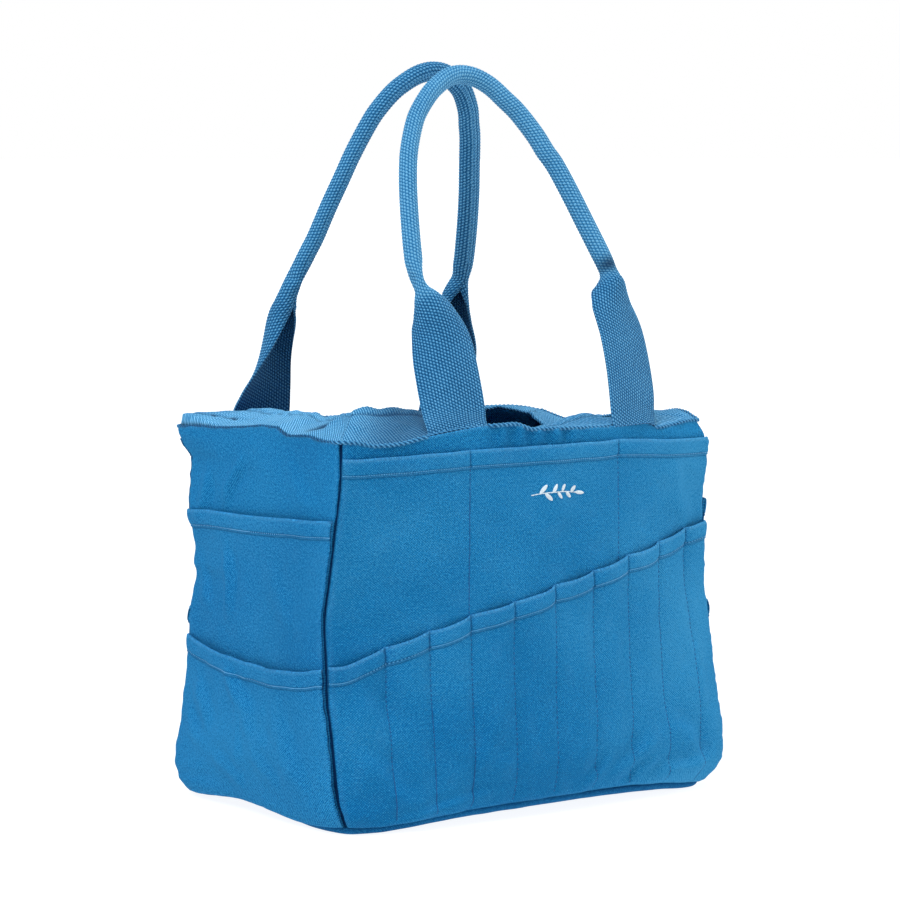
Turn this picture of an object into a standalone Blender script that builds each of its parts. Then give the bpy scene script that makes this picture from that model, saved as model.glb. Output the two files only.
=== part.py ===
"""Canvas garden tool bag with outside pockets, a webbing rim and two rolled webbing handles.

Frame: origin on the ground under the middle of the base, +Z up, front towards -Y, +X to the right
of someone looking at the front. Metres. The front and back walls are bowed, so each is built on a
plan line of three straight facets; pockets are offset from that line layer by layer.
"""
import math

import bpy
import bmesh
from mathutils import Matrix, Vector

# ---------------------------------------------------------------- driving dimensions
# Body
BAG_WIDTH = 0.340            # corner seam to corner seam, X
BAG_CORNER_DEPTH = 0.210     # corner seam to corner seam, Y
BAG_MID_DEPTH = 0.237        # wall to wall at the middle of the bowed front and back
BOW_FLAT = 0.127             # half width of the straight middle facet
CANVAS_TOP = 0.280           # height of the canvas top edge
CANVAS_T = 0.0014            # canvas thickness
GAP = 0.0003                 # play between neighbouring pieces

# Base
BASE_INSET = 0.0006          # base edge inside the plan outline
BASE_RIM = 0.0095            # height of the turned-up base strip
BASE_T = 0.0020
BOARD_INSET = 0.0060
BOARD_T = 0.0025

# Seam binding, round the base and up the corners
BINDING_W, BINDING_T = 0.009, 0.002
BASE_BINDING_INSET, BASE_BINDING_LOW = 0.0022, 0.0108
CORNER_SEAM_INSET_X, CORNER_SEAM_INSET_Y = 0.0062, 0.0058
CORNER_SEAM_LOW, CORNER_SEAM_HEIGHT = 0.0140, 0.258

# Layers of each side: wall, upper pocket, lower pocket
WALL_LOW = BASE_RIM + 0.0010
FACE_INSET = 0.0010          # end of the front and back walls inside the corner
SIDE_INSET = 0.0025          # end of the side walls inside the corner
LAYER_STEP = 0.0020          # each pocket layer ends this much inside the one under it

# Room inside the pockets, outward from the layer under them
FACE_UPPER_STAND = 0.0050
FACE_LOWER_STAND = 0.0070
SIDE_UPPER_STAND = 0.0050
SIDE_LOWER_STAND = 0.0060

# Heights of the pocket top edges
FACE_UPPER_LIP = 0.2700
CHANNEL_LIP_LEFT = 0.1250    # sloping lip of the front tool channels, at their left end
CHANNEL_LIP_RIGHT = 0.2070   # and at their right end
BACK_LOWER_LIP = 0.1420
SIDE_UPPER_LIP = 0.2210
LEFT_LOWER_LIP = 0.1170
RIGHT_LOWER_LIP = 0.1420

# Hems and thread
HEM = 0.0120                 # depth of every folded hem
HEM_EXTRA = 0.0007           # the fold stands this much proud
HEM_OVERLAP = 0.0005         # how far the hem solid reaches into the pocket sheet
HEM_DROP = 0.0001            # hem top below the lip
THREAD_H, THREAD_T = 0.0009, 0.0005
HEM_THREAD_RISE = 0.0006     # thread above the hem's lower edge
HEM_THREAD_INSET = 0.0020    # thread ends inside the pocket ends

# Pocket dividers
UPPER_DIVIDERS = (-0.066, 0.066)
CHANNEL_FIRST, CHANNEL_PITCH, CHANNEL_DIVIDERS = -0.1380, 0.03525, 9
DIVIDER_HALF = 0.0005        # half width
DIVIDER_DROP = 0.0010        # divider top below the lip

# Rim
RIM_WEB_W, RIM_WEB_T = 0.0424, 0.0020
RIM_START = 0.0035           # outer edge inside the plan outline
RIM_LIFT = 0.0015            # outer edge above the canvas top
RIM_RISE = 0.0140            # inner edge above the outer edge

# Handles
WEB_W, WEB_T = 0.048, 0.0020       # handle webbing
WEB_POINTS = 11                    # points across the webbing
GRIP_HALF_W, GRIP_HALF_T = 0.0060, 0.0052  # mid-surface radii of the rolled grip
GRIP_SLIT = 6.0                    # degrees left open each side of the roll's slit
CORE_HALF_W, CORE_HALF_T = 0.0040, 0.0032
CORE_SIDES = 8
GRIP_THREAD_HALF = 0.0014          # half width of the thread along the grip
HANDLE_X = 0.082                   # handle leg centre from the middle
HANDLE_Y, HANDLE_Z = 0.1178, 0.2835
HANDLE_LEAN = 21.0                 # degrees inward of vertical
# Centre line of one leg: (distance from the middle, distance up); the other leg mirrors it.
HANDLE_PATH = (
    (HANDLE_X, 0.0), (0.0830, 0.040), (0.0870, 0.085), (0.0880, 0.115),
    (0.0820, 0.150), (0.0665, 0.205), (0.0500, 0.238), (0.0280, 0.264),
)
HANDLE_TOP = 0.276
HANDLE_STEPS = 3                   # curve pieces between neighbouring path points
CURL_START, CURL_END = 0.050, 0.116  # distances up where the webbing starts and ends rolling
GRIP_START = CURL_END + 0.004      # cord and thread lie above this distance up
TAB_DEPTH, TAB_DROP = 0.025, 0.0005  # tab bottom and top below the canvas top

# Plan lines
HALF_WIDTH = BAG_WIDTH / 2
HALF_CORNER = BAG_CORNER_DEPTH / 2
HALF_MIDDLE = BAG_MID_DEPTH / 2
FRONT_LINE = [Vector((-HALF_WIDTH, -HALF_CORNER)), Vector((-BOW_FLAT, -HALF_MIDDLE)),
              Vector((BOW_FLAT, -HALF_MIDDLE)), Vector((HALF_WIDTH, -HALF_CORNER))]
OUTLINE = FRONT_LINE + [-point for point in FRONT_LINE]
# A side wall, in a frame turned so that the wall faces -Y
SIDE_LINE = [Vector((-HALF_CORNER, -HALF_WIDTH)), Vector((HALF_CORNER, -HALF_WIDTH))]
CHANNEL_HALF = HALF_WIDTH - FACE_INSET - 2 * LAYER_STEP

for old in list(bpy.data.objects):
    bpy.data.objects.remove(old, do_unlink=True)

# ---------------------------------------------------------------- materials


def material(name, colour, roughness):
    mat = bpy.data.materials.new(name)
    mat.use_nodes = True
    shader = mat.node_tree.nodes["Principled BSDF"]
    shader.inputs["Base Color"].default_value = (*colour, 1.0)
    shader.inputs["Roughness"].default_value = roughness
    return mat


CANVAS = material("canvas", colour=(0.020, 0.185, 0.480), roughness=0.92)
POCKET = material("pocket_canvas", colour=(0.022, 0.200, 0.500), roughness=0.92)
WEBBING = material("webbing", colour=(0.016, 0.150, 0.400), roughness=0.88)
RIM = material("rim_webbing", colour=(0.030, 0.230, 0.520), roughness=0.88)
THREAD = material("thread", colour=(0.030, 0.250, 0.560), roughness=0.70)
BOARD = material("base_board", colour=(0.180, 0.170, 0.150), roughness=0.80)
CORD = material("core_cord", colour=(0.620, 0.590, 0.520), roughness=0.90)
BINDING = material("seam_binding", colour=(0.010, 0.090, 0.260), roughness=0.90)

# ---------------------------------------------------------------- plan geometry


def outward(start, end):
    """Unit normal to the right of a plan edge: outward on a counter-clockwise outline."""
    along = (end - start).normalized()
    return Vector((along.y, -along.x))


def mitre(corner, before, after, distance):
    """A corner moved by distance along both of its edge normals."""
    return corner + (before + after) * (distance / (1 + before.dot(after)))


def offset_outline(distance):
    """The bag's closed plan outline moved outward, mitred at its corners."""
    count = len(OUTLINE)
    normals = [outward(OUTLINE[i], OUTLINE[(i + 1) % count]) for i in range(count)]
    return [mitre(OUTLINE[i], normals[i - 1], normals[i], distance) for i in range(count)]


def y_between(start, end, x):
    """y at x on the straight line through start and end."""
    return start.y + (end.y - start.y) * (x - start.x) / (end.x - start.x)


def offset_line(line, distance, half_width):
    """An open plan line moved outward, its ends cut at local x = -half_width and +half_width."""
    normals = [outward(start, end) for start, end in zip(line, line[1:])]
    corners = [mitre(line[i], normals[i - 1], normals[i], distance)
               for i in range(1, len(line) - 1)]

    def cut(i, x):
        shift = normals[i] * distance
        return Vector((x, y_between(line[i] + shift, line[i + 1] + shift, x)))

    return [cut(0, -half_width), *corners, cut(len(normals) - 1, half_width)]


def front_y(distance, x):
    """Local y at x on the front line moved outward by distance."""
    points = offset_line(FRONT_LINE, distance, HALF_WIDTH)
    return next(y_between(start, end, x) for start, end in zip(points, points[1:])
                if start.x <= x <= end.x)


def band(line, inner, outer, half_width):
    """Counter-clockwise plan polygon between two offsets of a line."""
    return (offset_line(line, outer, half_width)
            + list(reversed(offset_line(line, inner, half_width))))


# ---------------------------------------------------------------- mesh helpers


def add(name, bm, mat, turn=0.0, parent=None, place=(0, 0, 0)):
    """Makes an object of a bmesh, turned by degrees about Z."""
    mesh = bpy.data.meshes.new(name)
    bm.to_mesh(mesh)
    bm.free()
    if mat is not None:
        mesh.materials.append(mat)
    obj = bpy.data.objects.new(name, mesh)
    bpy.context.scene.collection.objects.link(obj)
    obj.location = place
    obj.rotation_euler = (0, 0, math.radians(turn))
    obj.parent = parent
    return obj


def skin(name, rings, mat, closed=False, triangulate=True, turn=0.0, parent=None):
    """Joins rings of 3-D points in order; closed joins last to first, else both ends are capped."""
    bm = bmesh.new()
    loops = [[bm.verts.new(point) for point in ring] for ring in rings]
    if closed:
        loops.append(loops[0])
    else:
        bm.faces.new(list(reversed(loops[0])))
        bm.faces.new(loops[-1])
    count = len(loops[0])
    for near, far in zip(loops, loops[1:]):
        for i in range(count):
            j = (i + 1) % count
            bm.faces.new((near[i], near[j], far[j], far[i]))
    if triangulate:
        bmesh.ops.triangulate(bm, faces=bm.faces)
    bmesh.ops.recalc_face_normals(bm, faces=bm.faces)
    return add(name, bm, mat, turn, parent)


def height_function(height):
    """Lets a height be given as a number or as a function of local x."""
    return height if callable(height) else lambda x: height


def prism(name, plan, low, high, mat, turn=0.0):
    """A counter-clockwise plan polygon carried from height low to height high."""
    rings = [[(x, y, height(x)) for x, y in plan]
             for height in (height_function(low), height_function(high))]
    return skin(name, rings, mat, triangulate=False, turn=turn)


def helper(name, plan, low, high, turn=0.0):
    """A hidden prism for a boolean."""
    obj = prism(name, plan, low, high, None, turn)
    obj.hide_render = True
    obj.display_type = "WIRE"
    return obj


def boolean(obj, other, operation):
    mod = obj.modifiers.new(f"{operation.title()}_{other.name}", "BOOLEAN")
    mod.operation = operation
    mod.object = other
    mod.solver = "EXACT"


# ---------------------------------------------------------------- base


def base_panel():
    """The bottom with its turned-up edge strip."""
    panel = prism("base_panel", offset_outline(-BASE_INSET), 0.0, BASE_RIM, CANVAS)
    well = helper("base_well", offset_outline(-BASE_INSET - BASE_T), BASE_T, BASE_RIM + 0.01)
    boolean(panel, well, "DIFFERENCE")


def base_board():
    low = BASE_T + GAP
    prism("base_board", offset_outline(-BOARD_INSET), low, low + BOARD_T, BOARD)


def base_binding():
    """A flat ring inside the foot of the walls."""
    ring = prism("base_seam_binding", offset_outline(-BASE_BINDING_INSET),
                 BASE_BINDING_LOW, BASE_BINDING_LOW + BINDING_T, BINDING)
    hole = helper("binding_hole", offset_outline(-BASE_BINDING_INSET - BINDING_W), 0.0, 0.03)
    boolean(ring, hole, "DIFFERENCE")


# ---------------------------------------------------------------- walls and pockets


def wall(name, line, half_width, turn):
    prism(name, band(line, -CANVAS_T, 0.0, half_width), WALL_LOW, CANVAS_TOP, CANVAS, turn)


def pocket(name, line, inner, stand, half_width, lip, turn):
    """A pocket panel: a sheet that stands off the layer under it, returned to it at both sides and
    at the bottom, and open at the top, with a folded hem and the hem's row of thread.
    Returns the offset of its outer face."""
    lip = height_function(lip)
    outer = inner + stand + CANVAS_T
    body = prism(name, band(line, inner + GAP, outer, half_width), WALL_LOW, lip, POCKET, turn)

    # The room overshoots at the back and the top, so the cut is open there.
    room = helper(name + "_room",
                  band(line, inner - 0.002, inner + stand, half_width - CANVAS_T),
                  WALL_LOW + CANVAS_T, CANVAS_TOP + 0.02, turn)
    boolean(body, room, "DIFFERENCE")

    hem = helper(name + "_hem", band(line, outer - HEM_OVERLAP, outer + HEM_EXTRA, half_width),
                 lambda x: lip(x) - HEM, lambda x: lip(x) - HEM_DROP, turn)
    boolean(body, hem, "UNION")

    thread_in = outer + HEM_EXTRA + GAP
    prism(name + "_hem_thread",
          band(line, thread_in, thread_in + THREAD_T, half_width - HEM_THREAD_INSET),
          lambda x: lip(x) - HEM + HEM_THREAD_RISE,
          lambda x: lip(x) - HEM + HEM_THREAD_RISE + THREAD_H, THREAD, turn)
    return outer


def divider(name, inner, stand, x, lip, turn):
    """The upright row of thread across a pocket's room that closes one channel from the next."""
    left, right = x - DIVIDER_HALF, x + DIVIDER_HALF
    near, far = inner + GAP, inner + stand - GAP
    plan = [(edge, front_y(distance, edge))
            for edge, distance in ((left, far), (right, far), (right, near), (left, near))]
    prism(name, plan, WALL_LOW + CANVAS_T + GAP, lip - DIVIDER_DROP, THREAD, turn)


def channel_lip(x):
    slope = (CHANNEL_LIP_RIGHT - CHANNEL_LIP_LEFT) / (2 * CHANNEL_HALF)
    return (CHANNEL_LIP_RIGHT + CHANNEL_LIP_LEFT) / 2 + slope * x


def layers(side, line, half_width, turn, upper, lower):
    """A wall, the pocket over it and the pocket over that. A pocket is (name, stand, lip).
    Returns the offset on which the lower pocket lies."""
    wall(side + "_wall", line, half_width, turn)
    offset = 0.0
    for level, (name, stand, lip) in enumerate((upper, lower), start=1):
        under = offset
        offset = pocket(f"{side}_{name}_pocket", line, under, stand,
                        half_width - level * LAYER_STEP, lip, turn)
    return under


def face(side, turn, row, lip, row_dividers):
    """The front or the back: its layers and the dividers of both pocket rows."""
    lower_inner = layers(side, FRONT_LINE, HALF_WIDTH - FACE_INSET, turn,
                         upper=("upper", FACE_UPPER_STAND, FACE_UPPER_LIP),
                         lower=(row, FACE_LOWER_STAND, lip))
    lip = height_function(lip)
    for k, x in enumerate(UPPER_DIVIDERS, start=1):
        divider(f"{side}_upper_divider_{k}", 0.0, FACE_UPPER_STAND, x, FACE_UPPER_LIP, turn)
    for k, x in enumerate(row_dividers, start=1):
        divider(f"{side}_{row}_divider_{k}", lower_inner, FACE_LOWER_STAND, x, lip(x), turn)


def end_side(side, turn, lower_lip):
    """The left or the right side."""
    layers(side, SIDE_LINE, HALF_CORNER - SIDE_INSET, turn,
           upper=("upper", SIDE_UPPER_STAND, SIDE_UPPER_LIP),
           lower=("lower", SIDE_LOWER_STAND, lower_lip))


def corner_seam(name, x_sign, y_sign):
    """Bound seam allowance standing inside a vertical corner."""
    bm = bmesh.new()
    bmesh.ops.create_cube(bm, size=1.0)
    bmesh.ops.scale(bm, vec=(BINDING_W, BINDING_T, CORNER_SEAM_HEIGHT), verts=bm.verts)
    add(name, bm, BINDING, turn=45.0 * x_sign * y_sign,
        place=(x_sign * (HALF_WIDTH - CORNER_SEAM_INSET_X),
               y_sign * (HALF_CORNER - CORNER_SEAM_INSET_Y),
               CORNER_SEAM_LOW + CORNER_SEAM_HEIGHT / 2))


# ---------------------------------------------------------------- rim


def rim():
    """Webbing along the canvas top edge, sloping up and inward round the mouth, mitred."""
    run = math.sqrt(RIM_WEB_W ** 2 - RIM_RISE ** 2)
    low = CANVAS_TOP + RIM_LIFT
    # Thickness, measured square to the slope
    thick_in = -RIM_RISE / RIM_WEB_W * RIM_WEB_T
    thick_up = run / RIM_WEB_W * RIM_WEB_T
    # (distance inside the outline, height)
    section = [(RIM_START, low),
               (RIM_START + thick_in, low + thick_up),
               (RIM_START + run + thick_in, low + RIM_RISE + thick_up),
               (RIM_START + run, low + RIM_RISE)]
    rings = [[(x, y, z) for x, y in offset_outline(-inset)] for inset, z in section]
    skin("rim_webbing", rings, RIM, closed=True)


# ---------------------------------------------------------------- handles


def spline(points, steps):
    """Catmull-Rom curve through points, steps pieces to a span."""
    curve = []
    padded = [points[0] * 2 - points[1], *points, points[-1] * 2 - points[-2]]
    for p0, p1, p2, p3 in zip(padded, padded[1:], padded[2:], padded[3:]):
        for k in range(steps):
            t = k / steps
            curve.append(0.5 * ((2 * p1) + (p2 - p0) * t
                                + (2 * p0 - 5 * p1 + 4 * p2 - p3) * t * t
                                + (3 * p1 - p0 - 3 * p2 + p3) * t ** 3))
    curve.append(points[-1])
    return curve


def handle_stations():
    """(point, direction across the webbing) along the handle, from the -x leg to the +x leg."""
    rising = [Vector((-x, up)) for x, up in HANDLE_PATH]
    falling = [Vector((x, up)) for x, up in reversed(HANDLE_PATH)]
    line = spline([*rising, Vector((0.0, HANDLE_TOP)), *falling], HANDLE_STEPS)
    inner = [(line[i], outward(line[i - 1], line[i + 1])) for i in range(1, len(line) - 1)]
    # Both legs leave the bag upright.
    return [(line[0], Vector((1, 0))), *inner, (line[-1], Vector((-1, 0)))]


def curl_at(up):
    """How far the webbing is rolled, 0 to 1, eased between the two curl heights."""
    t = max(0.0, min(1.0, (up - CURL_START) / (CURL_END - CURL_START)))
    return t * t * (3 - 2 * t)


def web_section(curl):
    """Outline of the webbing across its width: flat at curl 0, rolled to an open tube at curl 1."""
    last = WEB_POINTS - 1
    middle = []
    for k in range(WEB_POINTS):
        share = -1 + 2 * k / last
        angle = share * (math.pi - math.radians(GRIP_SLIT))
        flat = Vector((share * WEB_W / 2, 0.0))
        rolled = Vector((GRIP_HALF_W * math.sin(angle), GRIP_HALF_T * math.cos(angle)))
        middle.append(flat.lerp(rolled, curl))
    outer, inner = [], []
    for k, point in enumerate(middle):
        normal = -outward(middle[max(k - 1, 0)], middle[min(k + 1, last)])
        outer.append(point + normal * WEB_T / 2)
        inner.append(point - normal * WEB_T / 2)
    return outer + list(reversed(inner))


def section_ring(station, section):
    """A section of (across, outward) points set at a station, in the handle's own frame."""
    point, across = station
    return [Vector((point.x + across.x * u, -out, point.y + across.y * u)) for u, out in section]


def handle(side, y_sign):
    """One handle, modelled in its own plane: x across, -y outward, z up along the handle, and the
    pivot at the rim where its legs leave the bag."""
    pivot = bpy.data.objects.new(side + "_handle_pivot", None)
    bpy.context.scene.collection.objects.link(pivot)
    pivot.location = (0.0, y_sign * HANDLE_Y, HANDLE_Z)
    lean = Matrix.Rotation(math.radians(-HANDLE_LEAN), 4, "X")
    turn = Matrix.Rotation(0.0 if y_sign < 0 else math.pi, 4, "Z")
    pivot.rotation_euler = (turn @ lean).to_euler()

    stations = handle_stations()
    web = [section_ring(station, web_section(curl_at(station[0].y))) for station in stations]
    skin(side + "_handle_webbing", web, WEBBING, parent=pivot)

    grip = [station for station in stations if station[0].y > GRIP_START]
    angles = [math.tau * k / CORE_SIDES for k in range(CORE_SIDES)]
    core = [(CORE_HALF_W * math.cos(angle), CORE_HALF_T * math.sin(angle)) for angle in angles]
    # Thread along the slit, on the side of the grip that faces the other handle
    top = -(GRIP_HALF_T + WEB_T / 2 + GAP)
    thread = [(-GRIP_THREAD_HALF, top), (GRIP_THREAD_HALF, top),
              (GRIP_THREAD_HALF, top - THREAD_T), (-GRIP_THREAD_HALF, top - THREAD_T)]
    for name, section, mat in (("core_cord", core, CORD), ("grip_thread", thread, THREAD)):
        rings = [section_ring(station, section) for station in grip]
        skin(f"{side}_handle_{name}", rings, mat, parent=pivot)


def handle_tab(name, x_sign, y_sign):
    """The end of a handle leg, flat inside the wall under the rim."""
    outer = HALF_MIDDLE - CANVAS_T - GAP
    low_y, high_y = sorted((y_sign * (outer - WEB_T), y_sign * outer))
    left = x_sign * HANDLE_X - WEB_W / 2
    right = x_sign * HANDLE_X + WEB_W / 2
    prism(name, [(left, low_y), (right, low_y), (right, high_y), (left, high_y)],
          CANVAS_TOP - TAB_DEPTH, CANVAS_TOP - TAB_DROP, WEBBING)


# ---------------------------------------------------------------- assembly
base_panel()
base_board()
base_binding()
face("front", 0.0, "channel", channel_lip,
     [CHANNEL_FIRST + k * CHANNEL_PITCH for k in range(CHANNEL_DIVIDERS)])
face("back", 180.0, "lower", BACK_LOWER_LIP, UPPER_DIVIDERS)
end_side("left", -90.0, LEFT_LOWER_LIP)
end_side("right", 90.0, RIGHT_LOWER_LIP)
rim()
for end, end_y in (("front", -1), ("back", 1)):
    for hand, hand_x in (("left", -1), ("right", 1)):
        corner_seam(f"{end}_{hand}_corner_seam", hand_x, end_y)
        handle_tab(f"{end}_{hand}_handle_tab", hand_x, end_y)
    handle(end, end_y)
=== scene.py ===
"""The looks of a canvas garden tool bag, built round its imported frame.

The bag stands on z = 0, centred on the z axis: front -Y, right +X, back +Y, left -X. Metres.
Its walls and pockets are soft sheets laid out on one closed plan line that changes with height, so
that neighbouring panels always meet at a corner seam. A side is a number (0 front, 1 right, 2 back,
3 left) and frac runs 0 to 1 along it, anticlockwise seen from above. A loop place is side + frac. A
point of a sheet is given by its height z and its distance off the plan line.
"""
import math

import bpy
import numpy as np
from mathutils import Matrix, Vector


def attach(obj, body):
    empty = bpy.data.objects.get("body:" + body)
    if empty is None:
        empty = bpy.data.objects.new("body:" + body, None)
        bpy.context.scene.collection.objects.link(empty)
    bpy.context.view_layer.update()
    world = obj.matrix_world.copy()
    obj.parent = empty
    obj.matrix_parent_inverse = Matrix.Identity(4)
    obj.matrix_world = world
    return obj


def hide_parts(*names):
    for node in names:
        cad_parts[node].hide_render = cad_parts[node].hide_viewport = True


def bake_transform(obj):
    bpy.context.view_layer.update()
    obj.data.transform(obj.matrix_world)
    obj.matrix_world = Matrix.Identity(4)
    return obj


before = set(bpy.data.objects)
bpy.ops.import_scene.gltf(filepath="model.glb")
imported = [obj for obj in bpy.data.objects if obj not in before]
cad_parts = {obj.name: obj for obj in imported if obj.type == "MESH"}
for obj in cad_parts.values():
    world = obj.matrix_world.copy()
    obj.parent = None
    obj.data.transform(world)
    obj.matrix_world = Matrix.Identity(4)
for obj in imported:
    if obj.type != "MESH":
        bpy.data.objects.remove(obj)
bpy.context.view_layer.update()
MM = 0.001
PI = math.pi

# ---------------------------------------------------------------- driving sizes
HALF_X, HALF_Y = 170 * MM, 105 * MM         # corners of the plan line before they stray
SIDE_NAMES = ("front", "right", "back", "left")
SIDE_POINTS = (340, 210, 340, 210)          # plan points along each side
SIDE_START = (0, *np.cumsum(SIDE_POINTS)[:-1])
LOOP_POINTS = sum(SIDE_POINTS)
SIDE_LENGTH = (0.345, 0.212, 0.345, 0.212)  # cloth length of each side
HEIGHTS = np.linspace(-4 * MM, 304 * MM, 155)
CLOTH = 1.3 * MM
HEM_SEAM = 10.9 * MM                        # stitches below a pocket's lip

TAPE_WIDTH = 48 * MM                        # handle webbing
TAPE_COLUMNS = 44                           # mesh columns, two to a yarn
TAPE_ROW = 0.64 * MM                        # mesh row, four to a float of yarn
GRIP_ARC = 18.6 * MM    # half the tape's width that goes round the grip; the rest is tucked inside
LEAN = math.radians(21)                     # handles lean in over the mouth
HINGE_Y, HINGE_Z = 117.8 * MM, 283.5 * MM

RIM_WIDTH = 44 * MM
RIM_FOLD = 0.80                             # where the rim's free edge is turned over, 0 to 1
INNER_X, INNER_Y = 126.5 * MM, 62.5 * MM    # corners of the rim's free edge


# ---------------------------------------------------------------- small maths
def curve(x, points):
    """A smooth line through (x, y) points that never overshoots them, level beyond its ends."""
    xs, ys = np.array(points, float).T
    slope = np.diff(ys) / np.diff(xs)
    tangent = np.zeros(len(xs))
    product = slope[1:] * slope[:-1]
    same = product > 0
    tangent[1:-1][same] = 2 * product[same] / (slope[1:] + slope[:-1])[same]
    x = np.clip(np.asarray(x, float), xs[0], xs[-1])
    i = np.clip(np.searchsorted(xs, x, side="right") - 1, 0, len(xs) - 2)
    step = xs[i + 1] - xs[i]
    t = (x - xs[i]) / step
    return ((2 * t**3 - 3 * t**2 + 1) * ys[i] + (t**3 - 2 * t**2 + t) * step * tangent[i]
            + (3 * t**2 - 2 * t**3) * ys[i + 1] + (t**3 - t**2) * step * tangent[i + 1])


def curve_mm(x, points):
    """curve() for metres, with its points in millimetres."""
    return curve(np.asarray(x) / MM, points) * MM


def smooth(start, end, x):
    """0 at start, 1 at end, eased at both; start may be the larger."""
    t = np.clip((np.asarray(x, float) - start) / (end - start), 0, 1)
    return t * t * (3 - 2 * t)


def bump(x, width):
    return np.exp(-(np.asarray(x, float) / width) ** 2)


def unit(vectors):
    return vectors / np.linalg.norm(vectors, axis=-1, keepdims=True)


def split_loop(loop):
    """Side number and fraction along it of a loop place."""
    loop = np.asarray(loop, float) % 4.0
    side = np.minimum(np.floor(loop).astype(int), 3)
    return side, loop - side


def loop_gap(loop, centre):
    """Signed distance round the loop from centre, -2 to 2."""
    return (np.asarray(loop, float) - centre + 2) % 4.0 - 2


def wall_loop(x, facing):
    """Loop place of x on the front (facing -1) or the back (facing 1)."""
    return 0.5 + x / (2 * HALF_X) if facing < 0 else 2.5 - x / (2 * HALF_X)


def front_run(x):
    """Cloth distance along the front at x."""
    return wall_loop(x, -1) * SIDE_LENGTH[0]


class Waves:
    """Gentle repeatable unevenness: a few sine waves in seeded directions."""

    def __init__(self, seed, short, long, count=7):
        random = np.random.default_rng(seed)
        angle = random.uniform(0, 2 * PI, count)
        rate = 2 * PI / np.exp(random.uniform(math.log(short), math.log(long), count))
        phase = random.uniform(0, 2 * PI, count)
        self.parts = list(zip(rate * np.cos(angle), rate * np.sin(angle), phase))

    def __call__(self, x, y):
        total = sum(np.sin(rate_x * x + rate_y * y + phase) for rate_x, rate_y, phase in self.parts)
        return total / math.sqrt(len(self.parts))


# ---------------------------------------------------------------- the plan line
CORNERS = np.array([(-HALF_X, -HALF_Y), (HALF_X, -HALF_Y), (HALF_X, HALF_Y), (-HALF_X, HALF_Y)])

# how each corner seam strays from upright: its (x, y) direction, then (height, stray) in mm
CORNER_STRAY = (
    ((-0.24, 1.28), (   # front left
        (0, 0), (10, 0), (27, 3.5), (70, 7.7), (99, 11.2), (121, 11.7), (148, 13), (189, 8.2),
        (214, 5.1), (261, 0), (280, 0))),
    ((0.81, -0.59), (   # front right
        (0, 5), (6.7, 6.5), (12, 8), (20.5, 10.5), (28, 11.4), (40.5, 11), (52, 9.9), (62, 8.2),
        (81, 5.4), (96.5, 3.4), (120, 0.8), (143, -2.4), (160, -4.2), (173, -4.4), (200, -4.6),
        (228, -3.8), (235, -3.2), (248, -1), (255.5, -1.2), (262, -1.6), (269, -1), (274.5, -3),
        (280, -6.5), (300, -7))),
    ((0.70, 0.70), (    # back right
        (0, 2), (30, 6), (50, 5), (90, 0), (170, -7), (240, -4), (270, 1), (280, 0))),
    ((-0.81, 0.59), (   # back left
        (0, 4), (3.3, 5.2), (10.3, 7.6), (17.2, 6), (24.2, 7.4), (31.1, 6.2), (38, 5.6), (45, 4.2),
        (66, 0.6), (78, -0.2), (93.7, -2.8), (117.7, -4.1), (143, -4.6), (157, -7.5), (170, -9.4),
        (177, -7.2), (187, -9), (196.5, -7.4), (219.7, -3.4), (240.6, -4.4), (256, -5.8),
        (264.5, -0.5), (268, 1.5), (274, 5), (280, 5.6), (300, 5.6))),
)
STRAY_REACH = (125 * MM, 105 * MM)      # how far along a long and a short side the stray is felt
# (height, outward bow of the side's middle) in mm, for the long and the short sides
BOWS = (
    ((0, 18.5), (12, 21.5), (45, 26.5), (100, 23.5), (170, 21.5), (230, 20.5), (280, 18.5)),
    ((0, 2), (12, 4), (45, 8.5), (100, 6), (170, 4), (230, 3), (280, 4.5)),
)
# (height in mm, blur of the corners in plan points)
CORNER_BLUR = ((-4, 20), (8.5, 18), (12, 13), (22, 7), (40, 3.6), (65, 2), (100, 1.5), (262, 1.6),
               (274, 4.5), (300, 5))


def build_plan():
    """Points and outward normals of the plan line, a row for each of HEIGHTS."""
    shifts = [curve_mm(HEIGHTS, stray)[:, None] * np.array(direction)
              for direction, stray in CORNER_STRAY]
    points = np.zeros((len(HEIGHTS), LOOP_POINTS, 2))
    for side, count in enumerate(SIDE_POINTS):
        start, end = CORNERS[side], CORNERS[(side + 1) % 4]
        frac = np.arange(count) / count
        chord = end - start
        length = np.linalg.norm(chord)
        normal = np.array([chord[1], -chord[0]]) / length
        arch = (1 - (2 * frac - 1) ** 2) * curve_mm(HEIGHTS, BOWS[side % 2])[:, None]
        line = start + chord * frac[None, :, None] + normal * arch[..., None]
        for corner, away in ((side, frac), ((side + 1) % 4, 1 - frac)):
            fall = smooth(0, 1, 1 - away * length / STRAY_REACH[side % 2])
            line = line + shifts[corner][:, None] * fall[None, :, None]
        points[:, SIDE_START[side]:SIDE_START[side] + count] = line
    frequency = np.fft.rfftfreq(LOOP_POINTS, 1.0)
    blur = curve(HEIGHTS / MM, CORNER_BLUR)[:, None] * frequency[None]
    spectrum = np.fft.rfft(points, axis=1) * np.exp(-2 * (PI * blur) ** 2)[:, :, None]
    points = np.fft.irfft(spectrum, LOOP_POINTS, axis=1)
    tangent = unit(np.roll(points, -2, 1) - np.roll(points, 2, 1))
    return points, np.stack([tangent[..., 1], -tangent[..., 0]], -1)


PLAN, PLAN_NORMALS = build_plan()


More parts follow.
